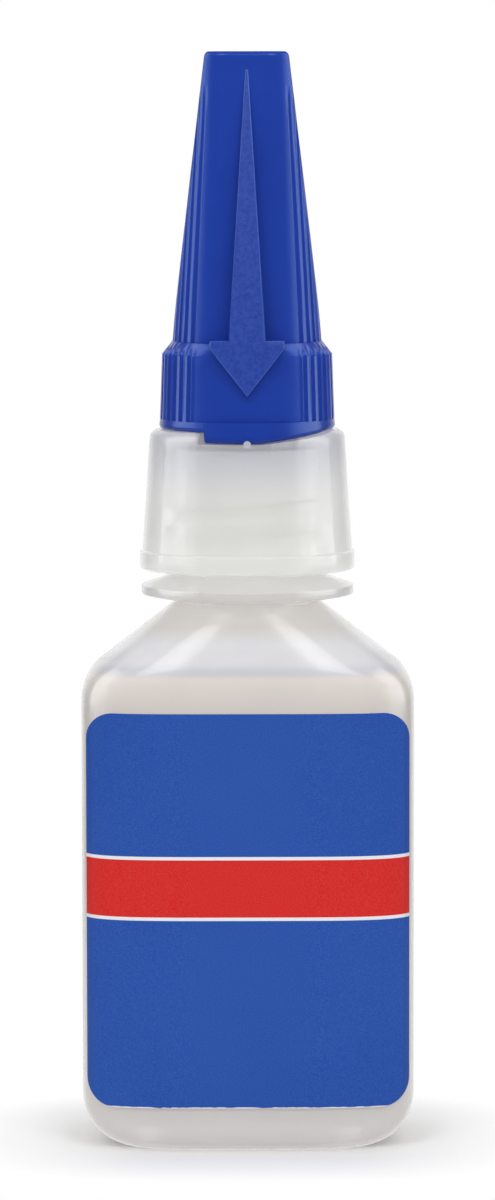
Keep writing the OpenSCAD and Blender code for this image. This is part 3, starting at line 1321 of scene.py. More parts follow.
    def heel_rings(self, base_z: float, inset: float, count: int) -> list[Ring]:
        """Draws the heel.

        Args:
            base_z: Height of the base.
            inset: How far the wall is drawn in.
            count: Number of steps.

        Returns:
            The rings, from the base up.
        """
        side_r, front_r = self.heel_side_r - inset, self.heel_front_r - inset

        def drawn_in(r: float, height: float) -> float:
            """Returns how far a heel of that radius draws in at a height."""
            return r - math.sqrt(max(0.0, r * r - max(0.0, r - height) ** 2))

        rings = []
        for angle in steps(0.0, QUARTER_TURN, count):
            height = side_r * (1 - cos_deg(angle))
            both = (inset + drawn_in(side_r, height), inset + drawn_in(front_r, height))
            rings.append(self.ring(base_z + height, both))
        return rings

    def wall_rings(self, base_z: float, inset: float, count: int) -> list[Ring]:
        """Draws the straight wall, without its two ends.

        Args:
            base_z: Height of the base.
            inset: How far the wall is drawn in.
            count: Number of steps.

        Returns:
            The rings, from the heel up.
        """
        low = base_z + self.heel_side_r - inset
        return [self.ring(z, (inset, inset)) for z in steps(low, self.straight_h, count)[1:-1]]

    def shoulder_rings(
        self, inset: float, circle_r: float, top_z: float, arcs: int, slopes: int
    ) -> list[Ring]:
        """Draws the shoulder.

        Args:
            inset: How far the wall is drawn in.
            circle_r: Radius of the circle that the shoulder runs to.
            top_z: Height at which the rings stop.
            arcs: Number of steps round the shoulder's round.
            slopes: Number of steps up its slope.

        Returns:
            The rings, from the body up.
        """
        r, run = self.shoulder_r - inset, self.width / 2 - inset - circle_r
        both = (inset, inset)
        rings = []
        for angle in steps(0.0, self.turn, arcs):
            z = self.straight_h + r * sin_deg(angle)
            if z < top_z:
                rings.append(self.ring(z, both, r * (1 - cos_deg(angle)) / run, circle_r))
        arc_z = self.straight_h + r * sin_deg(self.turn)
        arc_share = r * (1 - cos_deg(self.turn)) / run
        end_z = self.slope_z(inset, circle_r)
        for z in steps(arc_z, top_z, slopes)[1:]:
            share = blend(arc_share, 1.0, (z - arc_z) / (end_z - arc_z))
            rings.append(self.ring(z, both, share, circle_r))
        return rings

    def neck_rings(self) -> list[Ring]:
        """Draws the support ring, the threaded neck and its bore.

        Returns:
            The rings, up the outside and down the bore.
        """
        r, bore_r, mouth_z, top_z = self.neck_r, self.bore_r, self.mouth_z, self.ring_top_z
        support = rounded(
            [
                (r, self.neck_z + self.ring_foot, 0.0),
                (self.ring_r, self.ring_tip_z, self.edge_r),
                (self.ring_r, self.ring_tip_z + self.ring_edge, self.edge_r),
                (r, top_z, self.edge_r),
                (r, top_z + self.neck_lead, 0.0),
            ]
        )
        mouth = rounded(
            [
                (r, mouth_z - self.mouth_lead, 0.0),
                (r, mouth_z, self.mouth_r),
                (bore_r, mouth_z, self.mouth_r),
                (bore_r, mouth_z - self.mouth_depth, 0.0),
            ]
        )
        thread = Thread(r, r + self.thread_h, self.thread_z, self.pitch)
        threaded = steps(top_z + self.thread_lead, mouth_z - self.thread_end, self.thread_steps)
        throat_z = self.slope_z(self.wall, self.throat_r)
        bore = steps(mouth_z - self.bore_lead, throat_z + self.bore_end, self.bore_steps)
        rings = [self.turned(*point) for point in support]
        rings += [self._threaded(thread, z) for z in threaded]
        rings += [self.turned(*point) for point in mouth]
        rings += [self.turned(bore_r, z) for z in (*bore, throat_z)]
        return rings + [self.turned(self.throat_r, throat_z)]

    def inside_rings(self) -> list[Ring]:
        """Draws the inside of the body.

        Returns:
            The rings, from the floor up to the throat.
        """
        wall, floor_z, throat_r = self.wall, self.floor_z, self.throat_r
        shoulder = self.shoulder_rings(
            wall,
            throat_r,
            self.slope_z(wall, throat_r),
            self.inner_arc_steps,
            self.inner_slope_steps,
        )
        rings = self.heel_rings(floor_z, wall, self.inner_heel_steps)
        return rings + self.wall_rings(floor_z, wall, self.wall_steps) + shoulder[:-1]

    def build(self, finish: bpy.types.Material) -> bpy.types.Object:
        """Builds the bottle as one closed skin, outside and inside.

        Args:
            finish: The bottle's plastic.

        Returns:
            The bottle.
        """
        skin = RingSkin(even_angles(self.columns))
        skin.draw_all(self.foot_rings())
        skin.draw_all(self.heel_rings(0.0, 0.0, self.heel_steps))
        skin.draw_all(self.wall_rings(0.0, 0.0, self.wall_steps))
        sunk_r = self.neck_r - self.shoulder_sink
        shoulder = self.shoulder_rings(0.0, sunk_r, self.neck_z, self.arc_steps, self.slope_steps)
        skin.draw_all(self.no_closer(ring, self.neck_r) for ring in shoulder)
        skin.draw_all(self.neck_rings())
        skin.draw_all(reversed(self.inside_rings()))
        skin.fill_ends()
        piece = settle(skin.bm, "bottle_shell", [finish])
        return place(piece, Body.BOTTLE, "bottle", sheer=True)

    def _threaded(self, thread: Thread, z: float) -> Ring:
        """Returns a ring of the neck with the thread on it."""
        return lambda angle: self.turned(thread.radius(angle + QUARTER_TURN, z), z)(angle)


@dataclass
class Adhesive:
    """The liquid in the bottle, with a hollow meniscus."""

    bottle: Bottle
    gap: float = 0.05
    meniscus_h: float = 0.55
    meniscus_power: int = 4
    surface: tuple[float, ...] = (0.985, 0.96, 0.92, 0.86, 0.76, 0.6, 0.35)
    columns: int = 144
    heel_steps: int = 10
    wall_steps: int = 6
    arc_steps: int = 10
    slope_steps: int = 4

    def build(self, finish: bpy.types.Material) -> bpy.types.Object:
        """Builds the liquid.

        Args:
            finish: The liquid's look.

        Returns:
            The liquid.
        """
        b = self.bottle
        inset, base_z = b.wall + self.gap, b.floor_z + self.gap
        skin = RingSkin(even_angles(self.columns))
        skin.draw_all(b.heel_rings(base_z, inset, self.heel_steps))
        skin.draw_all(b.wall_rings(base_z, inset, self.wall_steps))
        shoulder = b.shoulder_rings(inset, b.throat_r, b.fill_z, self.arc_steps, self.slope_steps)
        skin.draw_all(shoulder)
        skin.draw_all(self._drawn_in(shoulder[-1], scale) for scale in self.surface)
        skin.fill_ends()
        piece = settle(skin.bm, "adhesive_fill", [finish])
        return place(piece, Body.BOTTLE, "adhesive")

    def _drawn_in(self, rim: Ring, scale: float) -> Ring:
        """Draws a ring of the liquid's surface.

        Args:
            rim: The ring where the surface meets the wall.
            scale: Size of the new ring, as a share of the rim.

        Returns:
            The ring.
        """
        least = self.surface[-1]
        outwards = (scale - least) / (1 - least)
        drop = self.meniscus_h * (1 - outwards**self.meniscus_power)

        def at(angle: float) -> Point:
            """Returns a point of the surface."""
            x, y, z = rim(angle)
            return (x * scale, y * scale, z - drop)

        return at


@dataclass
class Label:
    """A film label that wraps the front or the rear of the body."""

    bottle: Bottle
    side: Side
    thickness: float = 0.15
    film_gap: float = 0.02
    foot: float = 4.4
    top_gap: float = 0.6
    side_gap: float = 0.55
    corner_r: float = 2.6
    corner_steps: int = 10
    slices: int = 44
    slice_gap: float = 0.02
    crease: float = 50.0

    def on_section(self, x: float, swell: float) -> float:
        """Finds the front of the body.

        Args:
            x: Where, across the width.
            swell: How far the body is swollen.

        Returns:
            The y of the front there.
        """
        b = self.bottle
        share = min(1.0, abs(x) / (b.width / 2 + swell))
        return -(b.depth / 2 + swell) * (1 - share**b.section_power) ** (1 / b.section_power)

    def build(self, printed: bpy.types.Material, stock: bpy.types.Material) -> bpy.types.Object:
        """Builds the label from a rounded blank, sliced and bent round the body.

        Args:
            printed: Finish of its face.
            stock: Finish of its back and cut edge.

        Returns:
            The label.
        """
        b = self.bottle
        half = b.width / 2 - self.side_gap
        high = b.straight_h - self.top_gap
        bm = bmesh.new()
        blank = ((-half, self.foot), (half, self.foot), (half, high), (-half, high))
        corners = [bm.verts.new((x, 0.0, z)) for x, z in blank]
        bm.faces.new(corners)
        bevelled(bm, corners, self.corner_r, self.corner_steps, "VERTICES")
        for angle in steps(0.0, HALF_TURN, self.slices)[1:-1]:
            x, _ = b.section(angle, 0.0, 0.0)
            if abs(x) < half - self.slice_gap:
                slice_at(bm, (x, 0, 0), (1, 0, 0))
        raised = raise_sheet(bm)
        for vert in bm.verts:
            swell = self.film_gap + (self.thickness if vert in raised else 0.0)
            vert.co = Vector((vert.co.x, self.on_section(vert.co.x, swell), vert.co.z)) * MM
        bmesh.ops.recalc_face_normals(bm, faces=bm.faces)
        turn_to(bm, self.side)
        node = f"{self.side.name.lower()}_label"
        piece = settle(bm, f"{node}_film", [printed, stock], self.crease)
        return place(piece, Body.BOTTLE, node)


@dataclass
class Collar:
    """The screw collar: bead, wall, rim with cam notches, spigot and inner thread."""

    bottle: Bottle
    height: float = 13.45
    wall: float = 1.25
    wall_low: float = 0.15
    wall_next: float = 0.25
    flare: float = 0.7
    foot_land: float = 0.4
    foot_edge: float = 0.3
    bead_out: float = 0.24
    bead_h: float = 1.75
    bead_edge: float = 0.2
    bead_slope: float = 0.12
    bead_root: float = 0.1
    corner_r: float = 0.9
    ring_gap: float = 0.45
    deck_t: float = 1.7
    deck_edge: float = 0.15
    spigot_r: float = 6.3
    spigot_h: float = 3.5
    spigot_bead: float = 0.15
    spigot_bead_h: float = 0.9
    spigot_bead_edge: float = 0.3
    spigot_root: float = 0.1
    spigot_edge: float = 0.2
    spigot_gap: float = 0.15
    hole_r: float = 5.0
    ledge_w: float = 0.4
    ledge_slack: float = 0.02
    thread_gap: float = 0.25
    thread_lead: float = 0.3
    thread_end: float = 0.15
    cam_h: float = 1.0
    cam_stop: float = -30.0
    cam_foot: float = 8.0
    cam_top: float = 70.0
    cam_step: float = 0.15
    pip_r: float = 0.38
    pip_at: float = 8.9
    pip_sides: int = 20
    pip_rows: int = 12
    columns: int = 240
    wall_steps: int = 6
    corner_steps: int = 8
    thread_steps: int = 90

    @property
    def foot_z(self) -> float:
        """Height of the collar's foot."""
        return self.bottle.ring_top_z + self.ring_gap

    @property
    def rim_z(self) -> float:
        """Height of the collar's rim."""
        return self.foot_z + self.height

    @property
    def deck_z(self) -> float:
        """Height of the deck's underside."""
        return self.rim_z - self.deck_t

    @property
    def bore_r(self) -> float:
        """Radius of the threaded bore."""
        return self.bottle.neck_r + self.bottle.thread_h + self.thread_gap

    @property
    def top_r(self) -> float:
        """Radius of the wall at its top."""
        return self.bore_r + self.wall

    @property
    def foot_r(self) -> float:
        """Radius of the wall at its foot."""
        return self.top_r + self.flare

    @property
    def spigot_z(self) -> float:
        """Height of the spigot's top."""
        return self.rim_z + self.spigot_h

    def cam_drop(self, angle: float, side_gap: float = 0.0) -> float:
        """Works out how far the cam's path drops below the rim.

        Args:
            angle: Angle from the front, in degrees.
            side_gap: Angle left free at the stop, in degrees.

        Returns:
            The drop, 0 away from the notches.
        """
        for side in Side:
            off = off_angle(angle, side.value)
            if self.cam_stop + side_gap <= off <= self.cam_top:
                ramp = (self.cam_top - off) / (self.cam_top - self.cam_foot)
                return min(self.cam_h, self.cam_h * ramp)
        return 0.0

    def notched(self, radius: float, z: float) -> Ring:
        """Returns a ring that is cut down to the cam notch's floor."""
        return lambda angle: from_front(radius, angle, min(z, self.rim_z - self.cam_drop(angle)))

    def outside(self) -> Profile:
        """Draws the wall.

        Returns:
            The profile, from the foot to the rim.
        """
        bead_r = self.foot_r + self.bead_out
        bead_z = self.foot_z + self.bead_h
        low_r = blend(self.foot_r, self.top_r, self.wall_low)
        profile = rounded(
            [
                (self.bore_r, self.foot_z, 0.0),
                (self.bore_r + self.foot_land, self.foot_z, 0.0),
                (bead_r, self.foot_z, self.foot_edge),
                (bead_r, bead_z, self.bead_edge),
                (self.foot_r, bead_z + self.bead_slope, self.bead_root),
                (low_r, blend(bead_z, self.rim_z, self.wall_low), 0.0),
            ]
        )
        corner_z, corner_x = self.rim_z - self.corner_r, self.top_r - self.corner_r
        for share in steps(self.wall_next, 1.0, self.wall_steps):
            wall_r = blend(self.foot_r, self.top_r, share)
            profile.append((wall_r, blend(bead_z, corner_z, share)))
        for angle in steps(0.0, QUARTER_TURN, self.corner_steps)[1:]:
            x, z = self.corner_r * cos_deg(angle), self.corner_r * sin_deg(angle)
            profile.append((corner_x + x, corner_z + z))
        return profile

    def spigot(self) -> Profile:
        """Draws the spigot and the hole through it.

        Returns:
            The profile, from the rim to the underside of the deck.
        """
        bead_z = self.spigot_z - self.spigot_bead_h
        half = self.spigot_bead_h / 2
        return rounded(
            [
                (self.spigot_r, self.rim_z, 0.0),
                (self.spigot_r, bead_z - half, self.spigot_root),
                (self.spigot_r + self.spigot_bead, bead_z, self.spigot_bead_edge),
                (self.spigot_r, bead_z + half, self.spigot_root),
                (self.spigot_r, self.spigot_z, self.spigot_edge),
                (self.hole_r, self.spigot_z, self.spigot_edge),
                (self.hole_r, self.deck_z, self.deck_edge),
                (self.bore_r, self.deck_z, 0.0),
            ]
        )

    def build(self, finish: bpy.types.Material) -> bpy.types.Object:
        """Builds the collar as one closed skin, with its pips.

        Args:
            finish: The collar's plastic.

        Returns:
            The collar.
        """
        b = self.bottle
        marks = [self.cam_stop + side.value for side in Side]
        skin = RingSkin(snapped_angles(self.columns, marks, self.cam_step))
        skin.draw_all(self.notched(*point) for point in self.outside())
        inner = self.spigot_r + self.spigot_gap
        skin.draw(self.notched(inner + self.ledge_w, self.rim_z))
        skin.draw(self.notched(inner, self.rim_z))
        skin.draw(even_ring(inner - self.ledge_slack, self.rim_z))
        skin.draw_all(even_ring(*point) for point in self.spigot())
        crest_r = b.neck_r + self.thread_gap
        thread = Thread(self.bore_r, crest_r, b.thread_z + b.pitch / 2, b.pitch)
        low, high = self.foot_z + self.thread_end, self.deck_z - self.thread_lead
        skin.draw_all(self._threaded(thread, z) for z in steps(high, low, self.thread_steps))
        skin.join_ends()
        self._add_pips(skin.bm)
        piece = settle(skin.bm, "collar_shell", [finish])
        return place(piece, Body.COLLAR, "collar", sheer=True)

    def _threaded(self, thread: Thread, z: float) -> Ring:
        """Returns a ring of the bore with the thread on it."""
        return lambda angle: from_front(thread.radius(angle, z), angle, z)

    def _add_pips(self, bm: bmesh.types.BMesh) -> None:
        """Adds the small round pip on the floor of each notch.

        Args:
            bm: The collar's mesh.
        """
        for side in Side:
            spot = Vector(from_front(self.pip_at, side.value, self.rim_z - self.cam_h)) * MM
            bmesh.ops.create_uvsphere(
                bm,
                u_segments=self.pip_sides,
                v_segments=self.pip_rows,
                radius=self.pip_r * MM,
                matrix=Matrix.Translation(spot),
            )


@dataclass
class Nozzle:
    """The dropper nozzle: plug, flange, hub and tapered spout with its channel."""

    bottle: Bottle
    collar: Collar
    seat_gap: float = 0.05
    plug_gap: float = 0.08
    plug_h: float = 5.0
    plug_wall: float = 1.1
    plug_edge: float = 0.15
    plug_lead_w: float = 0.2
    plug_lead_h: float = 0.6
    plug_lead_edges: tuple[float, float] = (0.1, 0.3)
    seam: tuple[float, float] = (0.3, 0.5)
    flange_edges: tuple[float, float] = (0.2, 0.3)
    hub_r: float = 4.9
    hub_root: float = 0.12
    hub_edge: float = 0.35
    spout_r: float = 3.2
    spout_root: float = 0.3
    spout_wall: float = 1.0
    tip_r: float = 1.25
    tip_z: float = 99.46
    tip_edge: float = 0.18
    orifice_r: float = 0.6
    orifice_h: float = 2.0
    orifice_edges: tuple[float, float] = (0.12, 0.2)
    channel_edge: float = 0.4
    columns: int = 96

    def profile(self) -> Profile:
        """Draws the nozzle.

        Returns:
            The profile, up the outside and then down the channel.
        """
        b, c = self.bottle, self.collar
        plug_r, plug_z = b.bore_r - self.plug_gap, b.mouth_z - self.plug_h
        channel_r, hub_z = plug_r - self.plug_wall, c.spigot_z
        low_z, high_z = b.mouth_z + self.seat_gap, c.deck_z - self.seat_gap
        return rounded(
            [
                (channel_r, plug_z + self.seam[0], 0.0),
                (channel_r, plug_z, self.plug_edge),
                (plug_r - self.plug_lead_w, plug_z, self.plug_lead_edges[0]),
                (plug_r, plug_z + self.plug_lead_h, self.plug_lead_edges[1]),
                (plug_r, low_z, 0.0),
                (b.neck_r, low_z, self.flange_edges[0]),
                (b.neck_r, high_z, self.flange_edges[1]),
                (self.hub_r, high_z, self.hub_root),
                (self.hub_r, hub_z, self.hub_edge),
                (self.spout_r, hub_z, self.spout_root),
                (self.tip_r, self.tip_z, self.tip_edge),
                (self.orifice_r, self.tip_z, self.orifice_edges[0]),
                (self.orifice_r, self.tip_z - self.orifice_h, self.orifice_edges[1]),
                (self.spout_r - self.spout_wall, hub_z - self.spout_wall, self.channel_edge),
                (channel_r, high_z - self.spout_wall, self.channel_edge),
                (channel_r, plug_z + self.seam[1], 0.0),
            ]
        )

    def build(self, finish: bpy.types.Material) -> bpy.types.Object:
        """Builds the nozzle by spinning its profile."""
        piece = settle(spun(self.profile(), self.columns, True), "nozzle_insert", [finish])
        return place(piece, Body.NOZZLE, "nozzle", sheer=True)


@dataclass
class Cap:
    """The twist-off cap: cam teeth, ribbed skirt, slope, tall taper and two raised arrows."""

    collar: Collar
    gap: float = 0.1
    height: float = 35.999
    foot_drop: float = 0.06
    foot_edge: float = 0.4
    foot_inner_edge: float = 0.1
    foot_lead: float = 0.05
    rim_ledge: float = 0.96
    skirt_h: float = 7.1
    skirt_draft: float = 0.28
    band_h: float = 0.9
    band_lead: float = 0.1
    band_step: float = 0.04
    panel_edge_at: float = 40.0
    panel_edge_run: float = 1.5
    panel_recess: float = 0.12
    panel_sink: float = 0.4
    slope_h: float = 1.3
    slope_w: float = 1.0
    slope_tuck: float = 0.25
    slope_fade: float = 1.6
    slope_shares: tuple[float, ...] = (0.12, 0.35, 0.6, 0.94)
    side_ease: float = 0.1
    side_round: float = 0.06
    side_least: float = 0.05
    panel_in: float = 1.5
    panel_round: float = 5.0
    panel_top_round: float = 3.2
    top_half_w: float = 4.0
    top_half_d: float = 3.9
    top_corner_r: float = 5.2
    top_edge: float = 0.5
    top_inset: float = 1.2
    wall: float = 1.3
    crown_t: float = 1.7
    crown_root: float = 0.2
    boss_r: float = 1.8
    boss_h: float = 3.4
    boss_edge: float = 0.25
    pin_hole_r: float = 0.48
    pin_hole_edge: float = 0.1
    pin_hold: float = 3.23
    taper_bend: float = 0.6
    bore_bend: float = 0.4
    bore_foot: float = 0.4
    groove_r: float = 0.3
    taper_grooves: int = 11
    taper_step: float = 8.3
    skirt_grooves: int = 14
    skirt_step: float = 7.4
    groove_fade: float = 0.7
    cam_side_gap: float = 1.0
    cam_step: float = 0.1
    arrow_out: float = 0.3
    arrow_root_r: float = 6.75
    arrow_edge: float = 0.1
    arrow_edge_steps: int = 3
    arrow_foot_gap: float = 3.4
    arrow_top_gap: float = 3.5
    arrow_fade: float = 1.8
    arrow_crease: float = 50.0
    draft: float = 0.06
    shaft_end_out: float = 0.03
    shaft_top_w: float = 0.3
    shaft_foot_w: float = 3.4
    head_w: float = 7.0
    head_side_h: float = 0.8
    crease: float = 33.0
    columns: int = 480
    foot_steps: int = 6
    skirt_steps: int = 10
    taper_steps: int = 26
    crown_steps: int = 6
    edge_steps: int = 6

    @property
    def foot_z(self) -> float:
        """Height of the cap's foot."""
        return self.collar.rim_z + self.gap

    @property
    def top_z(self) -> float:
        """Height of the cap's top."""
        return self.foot_z + self.height

    @property
    def skirt_r(self) -> float:
        """Radius of the skirt at its foot."""
        return self.collar.top_r - self.rim_ledge

    @property
    def skirt_top_r(self) -> float:
        """Radius of the skirt at its top."""
        return self.skirt_r - self.skirt_draft

    @property
    def skirt_z(self) -> float:
        """Height of the skirt's top."""
        return self.foot_z + self.skirt_h

    @property
    def taper_z(self) -> float:
        """Height of the taper's foot."""
        return self.skirt_z + self.slope_h

    @property
    def taper_r(self) -> float:
        """Radius of the taper's foot."""
        return self.skirt_top_r - self.slope_w

    @property
    def groove_z(self) -> float:
        """Height at which the taper's grooves end."""
        return self.top_z - self.arrow_top_gap

    @property
    def shaft_z(self) -> float:
        """Height at which the arrow's shaft has run out into the panel."""
        return self.groove_z + self.arrow_fade

    @property
    def head_z(self) -> float:
        """Height of the arrow head's upper edge."""
        return self.taper_z + self.arrow_out

    @property
    def boss_z(self) -> float:
        """Height of the foot of the boss that holds the pin."""
        return self.top_z - self.crown_t - self.boss_h

    @property
    def panel_r(self) -> float:
        """Distance of a flat panel from the axis at the taper's foot."""
        return self.taper_r - self.panel_in

    def on_taper(self, foot: float, top: float, z: float) -> float:
        """Returns a size at a height, between its sizes at the taper's foot and top."""
        return blend(foot, top, (z - self.taper_z) / (self.top_z - self.taper_z))

    def panel_at(self, z: float) -> float:
        """Returns the distance of a flat panel from the axis."""
        return self.on_taper(self.panel_r, self.top_half_d, z)

    def taper_at(self, angle: float, z: float) -> float:
        """Works out the taper: flat panels that round over into the ribbed sides.

        Args:
            angle: Angle from the front, in degrees.
            z: Height.

        Returns:
            The radius there, without the grooves.
        """
        corner = self.on_taper(self.taper_r, self.top_corner_r, z)
        side = self.on_taper(self.taper_r + self.side_ease, self.top_half_w, z)
        panel, r = self.panel_at(z), self.on_taper(self.panel_round, self.panel_top_round, z)
        across, ahead = abs(sin_deg(angle)), abs(cos_deg(angle))
        # The round is an arc about x, y that touches both the panel and the corner's circle.
        x, y = math.sqrt((corner - r) ** 2 - (panel - r) ** 2), panel - r
        if panel * across < x * ahead:
            front = panel / ahead
        elif x * ahead > y * across:
            along = x * across + y * ahead
            front = along + math.sqrt(along**2 - x**2 - y**2 + r**2)
        else:
            front = corner
        return soft_min((front, side / max(across, self.side_least)), self.side_round)

    def groove_depth(self, angle: float, radius: float, count: int, step: float) -> float:
        """Works out how deep the grip grooves cut.

        Args:
            angle: Angle from the front, in degrees.
            radius: Radius of the surface.
            count: Number of grooves on a side.
            step: Angle between grooves.

        Returns:
            The depth, 0 between the grooves.
        """
        side = QUARTER_TURN if sin_deg(angle) > 0 else -QUARTER_TURN
        off = off_angle(angle, side) / step + (count - 1) / 2
        nearest = clamp(round(off), 0, count - 1)
        away = math.radians((off - nearest) * step) * radius
        return math.sqrt(max(0.0, self.groove_r**2 - away**2))

    def skirt_profile_r(self, z: float) -> float:
        """Works out the plain radius of the skirt and of the slope above it.

        Args:
            z: Height.

        Returns:
            The radius, without grooves or panels.
        """
        low = self.foot_z - self.collar.cam_h
        if z <= self.skirt_z:
            return blend(self.skirt_r, self.skirt_top_r, (z - low) / (self.skirt_z - low))
        return blend(self.skirt_top_r, self.taper_r, (z - self.skirt_z) / self.slope_h)

    def skirt_panel(self, angle: float) -> float:
        """Works out how far the skirt's smooth panels are sunk.

        Args:
            angle: Angle from the front, in degrees.

        Returns:
            The depth, most in the middle of a panel.
        """
        off = min(abs(off_angle(angle, side.value)) for side in Side)
        step = clamp((self.panel_edge_at - off) / self.panel_edge_run)
        hollow = clamp(1.0 - (off / self.panel_edge_at) ** 2)
        return self.panel_recess * step + self.panel_sink * hollow

    def foot_ring(self, radius: float, lift: float) -> Ring:
        """Draws a ring that follows the cam teeth along the cap's foot.

        Args:
            radius: Its radius.
            lift: Its height over the foot.

        Returns:
            The ring.
        """
        z, cam = self.foot_z - self.foot_drop + lift, self.collar.cam_drop
        return lambda angle: from_front(radius, angle, z - cam(angle, self.cam_side_gap))

    def skirt_ring(self, z: float) -> Ring:
        """Draws a ring of the skirt, with its grooves and panels.

        Args:
            z: Height.

        Returns:
            The ring.
        """
        r = self.skirt_profile_r(z)

        def at(angle: float) -> Point:
            """Returns the ring's point at an angle."""
            groove = self.groove_depth(angle, r, self.skirt_grooves, self.skirt_step)
            return from_front(r - groove - self.skirt_panel(angle), angle, z)

        return at

    def slope_ring(self, share: float) -> Ring:
        """Draws a ring of the slope, up which the skirt's grooves and panels run out.

        Args:
            share: How far up the slope it is.

        Returns:
            The ring.
        """
        skirt = self.skirt_ring(self.skirt_z)
        fade = clamp(1.0 - share * self.slope_fade)
        z = self.skirt_z + self.slope_h * share

        def at(angle: float) -> Point:
            """Finds a point of the ring.

            Args:
                angle: Angle from the front, in degrees.

            Returns:
                The point there.
            """
            x, y, _ = skirt(angle)
            cut = (self.skirt_top_r - math.hypot(x, y)) * fade
            r = max(self.skirt_profile_r(z) - cut, self.taper_at(angle, z) - self.slope_tuck)
            return from_front(r, angle, z)

        return at

    def taper_ring(self, z: float, inset: float = 0.0) -> Ring:
        """Draws a ring of the taper, with its grooves fading out towards the top.

        Args:
            z: Height.
            inset: How far it is drawn in.

        Returns:
            The ring.
        """
        end_z = self.groove_z
        fade = self.groove_r * self.groove_fade
        fade *= clamp((z - self.taper_z) / (end_z - self.taper_z))

        def at(angle: float) -> Point:
            """Finds a point of the ring.

            Args:
                angle: Angle from the front, in degrees.

            Returns:
                The point there.
            """
            r = self.taper_at(angle, z)
            if z < end_z:
                groove = self.groove_depth(angle, r, self.taper_grooves, self.taper_step)
                r -= max(0.0, groove - fade)
            return from_front(r - inset, angle, z)

        return at

    def inside(self) -> Profile:
        """Draws the cavity.

        Returns:
            The profile, from the pin hole down to the foot.
        """
        c = self.collar
        bore_r = c.spigot_r + c.spigot_bead + c.spigot_gap
        crown_z, boss_z = self.top_z - self.crown_t, self.boss_z
        return rounded(
            [
                (self.pin_hole_r, boss_z + self.pin_hold, 0.0),
                (self.pin_hole_r, boss_z, self.pin_hole_edge),
                (self.boss_r, boss_z, self.boss_edge),
                (self.boss_r, crown_z, self.crown_root),
                (self.top_half_d - self.wall, crown_z, self.crown_root),
                (self.panel_r - self.wall, self.taper_z, self.taper_bend),
                (bore_r, c.spigot_z + c.spigot_gap, self.bore_bend),
                (bore_r, self.foot_z + self.bore_foot, 0.0),
            ]
        )

    def foot(self, bore_r: float) -> Profile:
        """Draws the foot, as radius and height over the cam teeth.

        Args:
            bore_r: Radius of the bore.

        Returns:
            The profile, from the bore to the skirt.
        """
        edge = self.foot_edge
        return rounded(
            [
                (bore_r, edge, 0.0),
                (bore_r, 0.0, self.foot_inner_edge),
                (self.skirt_r, 0.0, edge),
                (self.skirt_r, edge + self.foot_lead, 0.0),
            ],
            self.foot_steps,
        )

    def build(
        self, finish: bpy.types.Material, etched: bpy.types.Material, painted_highlight: bpy.types.Material
    ) -> list[bpy.types.Object]:
        """Builds the cap and its two arrows, whose edges are a lighter blue as a painted highlight.

        Args:
            finish: The cap's plastic.
            etched: Finish of the arrows' faces.
            painted_highlight: Finish of the arrows' edges.

        Returns:
            The cap and the arrows.
        """
        stop = self.collar.cam_stop + self.cam_side_gap
        marks = [stop + side.value for side in Side]
        skin = RingSkin(snapped_angles(self.columns, marks, self.cam_step))
        inside = self.inside()
        skin.draw_all(even_ring(*point) for point in inside)
        skin.draw_all(self.foot_ring(*point) for point in self.foot(inside[-1][0]))
        band_z, edge = self.foot_z + self.band_h, self.top_edge
        for z in (band_z - self.band_lead, band_z):
            skin.draw(even_ring(self.skirt_profile_r(z), z))
        skirt = steps(band_z + self.band_step, self.skirt_z, self.skirt_steps)
        skin.draw_all(self.skirt_ring(z) for z in skirt)
        skin.draw_all(self.slope_ring(share) for share in self.slope_shares)
        taper = steps(self.taper_z, self.groove_z, self.taper_steps)
        taper += steps(self.groove_z, self.top_z - edge, self.crown_steps)[1:]
        skin.draw_all(self.taper_ring(z) for z in taper)
        for angle in steps(0.0, QUARTER_TURN, self.edge_steps)[1:]:
            z = self.top_z - edge * (1 - sin_deg(angle))
            skin.draw(self.taper_ring(z, edge * (1 - cos_deg(angle))))
        skin.draw(self.taper_ring(self.top_z, self.top_inset))
        skin.fill_ends()
        shell = settle(skin.bm, "cap_shell", [finish], self.crease)
        arrows = [self.build_arrow(side, [etched, finish, painted_highlight]) for side in Side]
        return [place(shell, Body.CAP, "cap"), *arrows]

    def build_arrow(self, side: Side, finishes: list[bpy.types.Material]) -> bpy.types.Object:
        """Builds a raised arrow: its outline is extruded, leant back above the head and bevelled.

        Args:
            side: The face of the cap that it is on.
            finishes: Finishes of its face, its flanks and its edges; the edges' finish is a painted
                highlight.

        Returns:
            The arrow.
        """
        half, foot, top = self.head_w / 2, self.shaft_foot_w / 2, self.shaft_top_w / 2
        tip_z, corner_z = self.foot_z + self.arrow_foot_gap, self.head_z - self.head_side_h
        right = [(half, corner_z), (half, self.head_z), (foot, self.head_z), (top, self.shaft_z)]
        outline = [(0.0, tip_z), *right, *((-x, z) for x, z in reversed(right))]
        bm = bmesh.new()
        bm.faces.new([bm.verts.new((x, 0.0, z)) for x, z in outline])
        slice_at(bm, (0, 0, self.head_z), (0, 0, 1))
        raised = raise_sheet(bm)
        for vert in bm.verts:
            self._set_arrow_vert(vert, vert in raised)
        bmesh.ops.recalc_face_normals(bm, faces=bm.faces)
        face_edges = [edge for edge in bm.edges if raised.issuperset(edge.verts)]
        sharp = math.radians(self.arrow_crease)
        rim = [edge for edge in face_edges if edge.calc_face_angle() > sharp]
        # The bevelled edges take the third finish, the lighter blue of a painted highlight.
        for face in bevelled(bm, rim, self.arrow_edge * MM, self.arrow_edge_steps, "EDGES"):
            face.material_index = 2
        turn_to(bm, side)
        piece = settle(bm, f"cap_arrow_{side.name.lower()}", finishes, self.arrow_crease)
        return place(piece, Body.CAP, None)

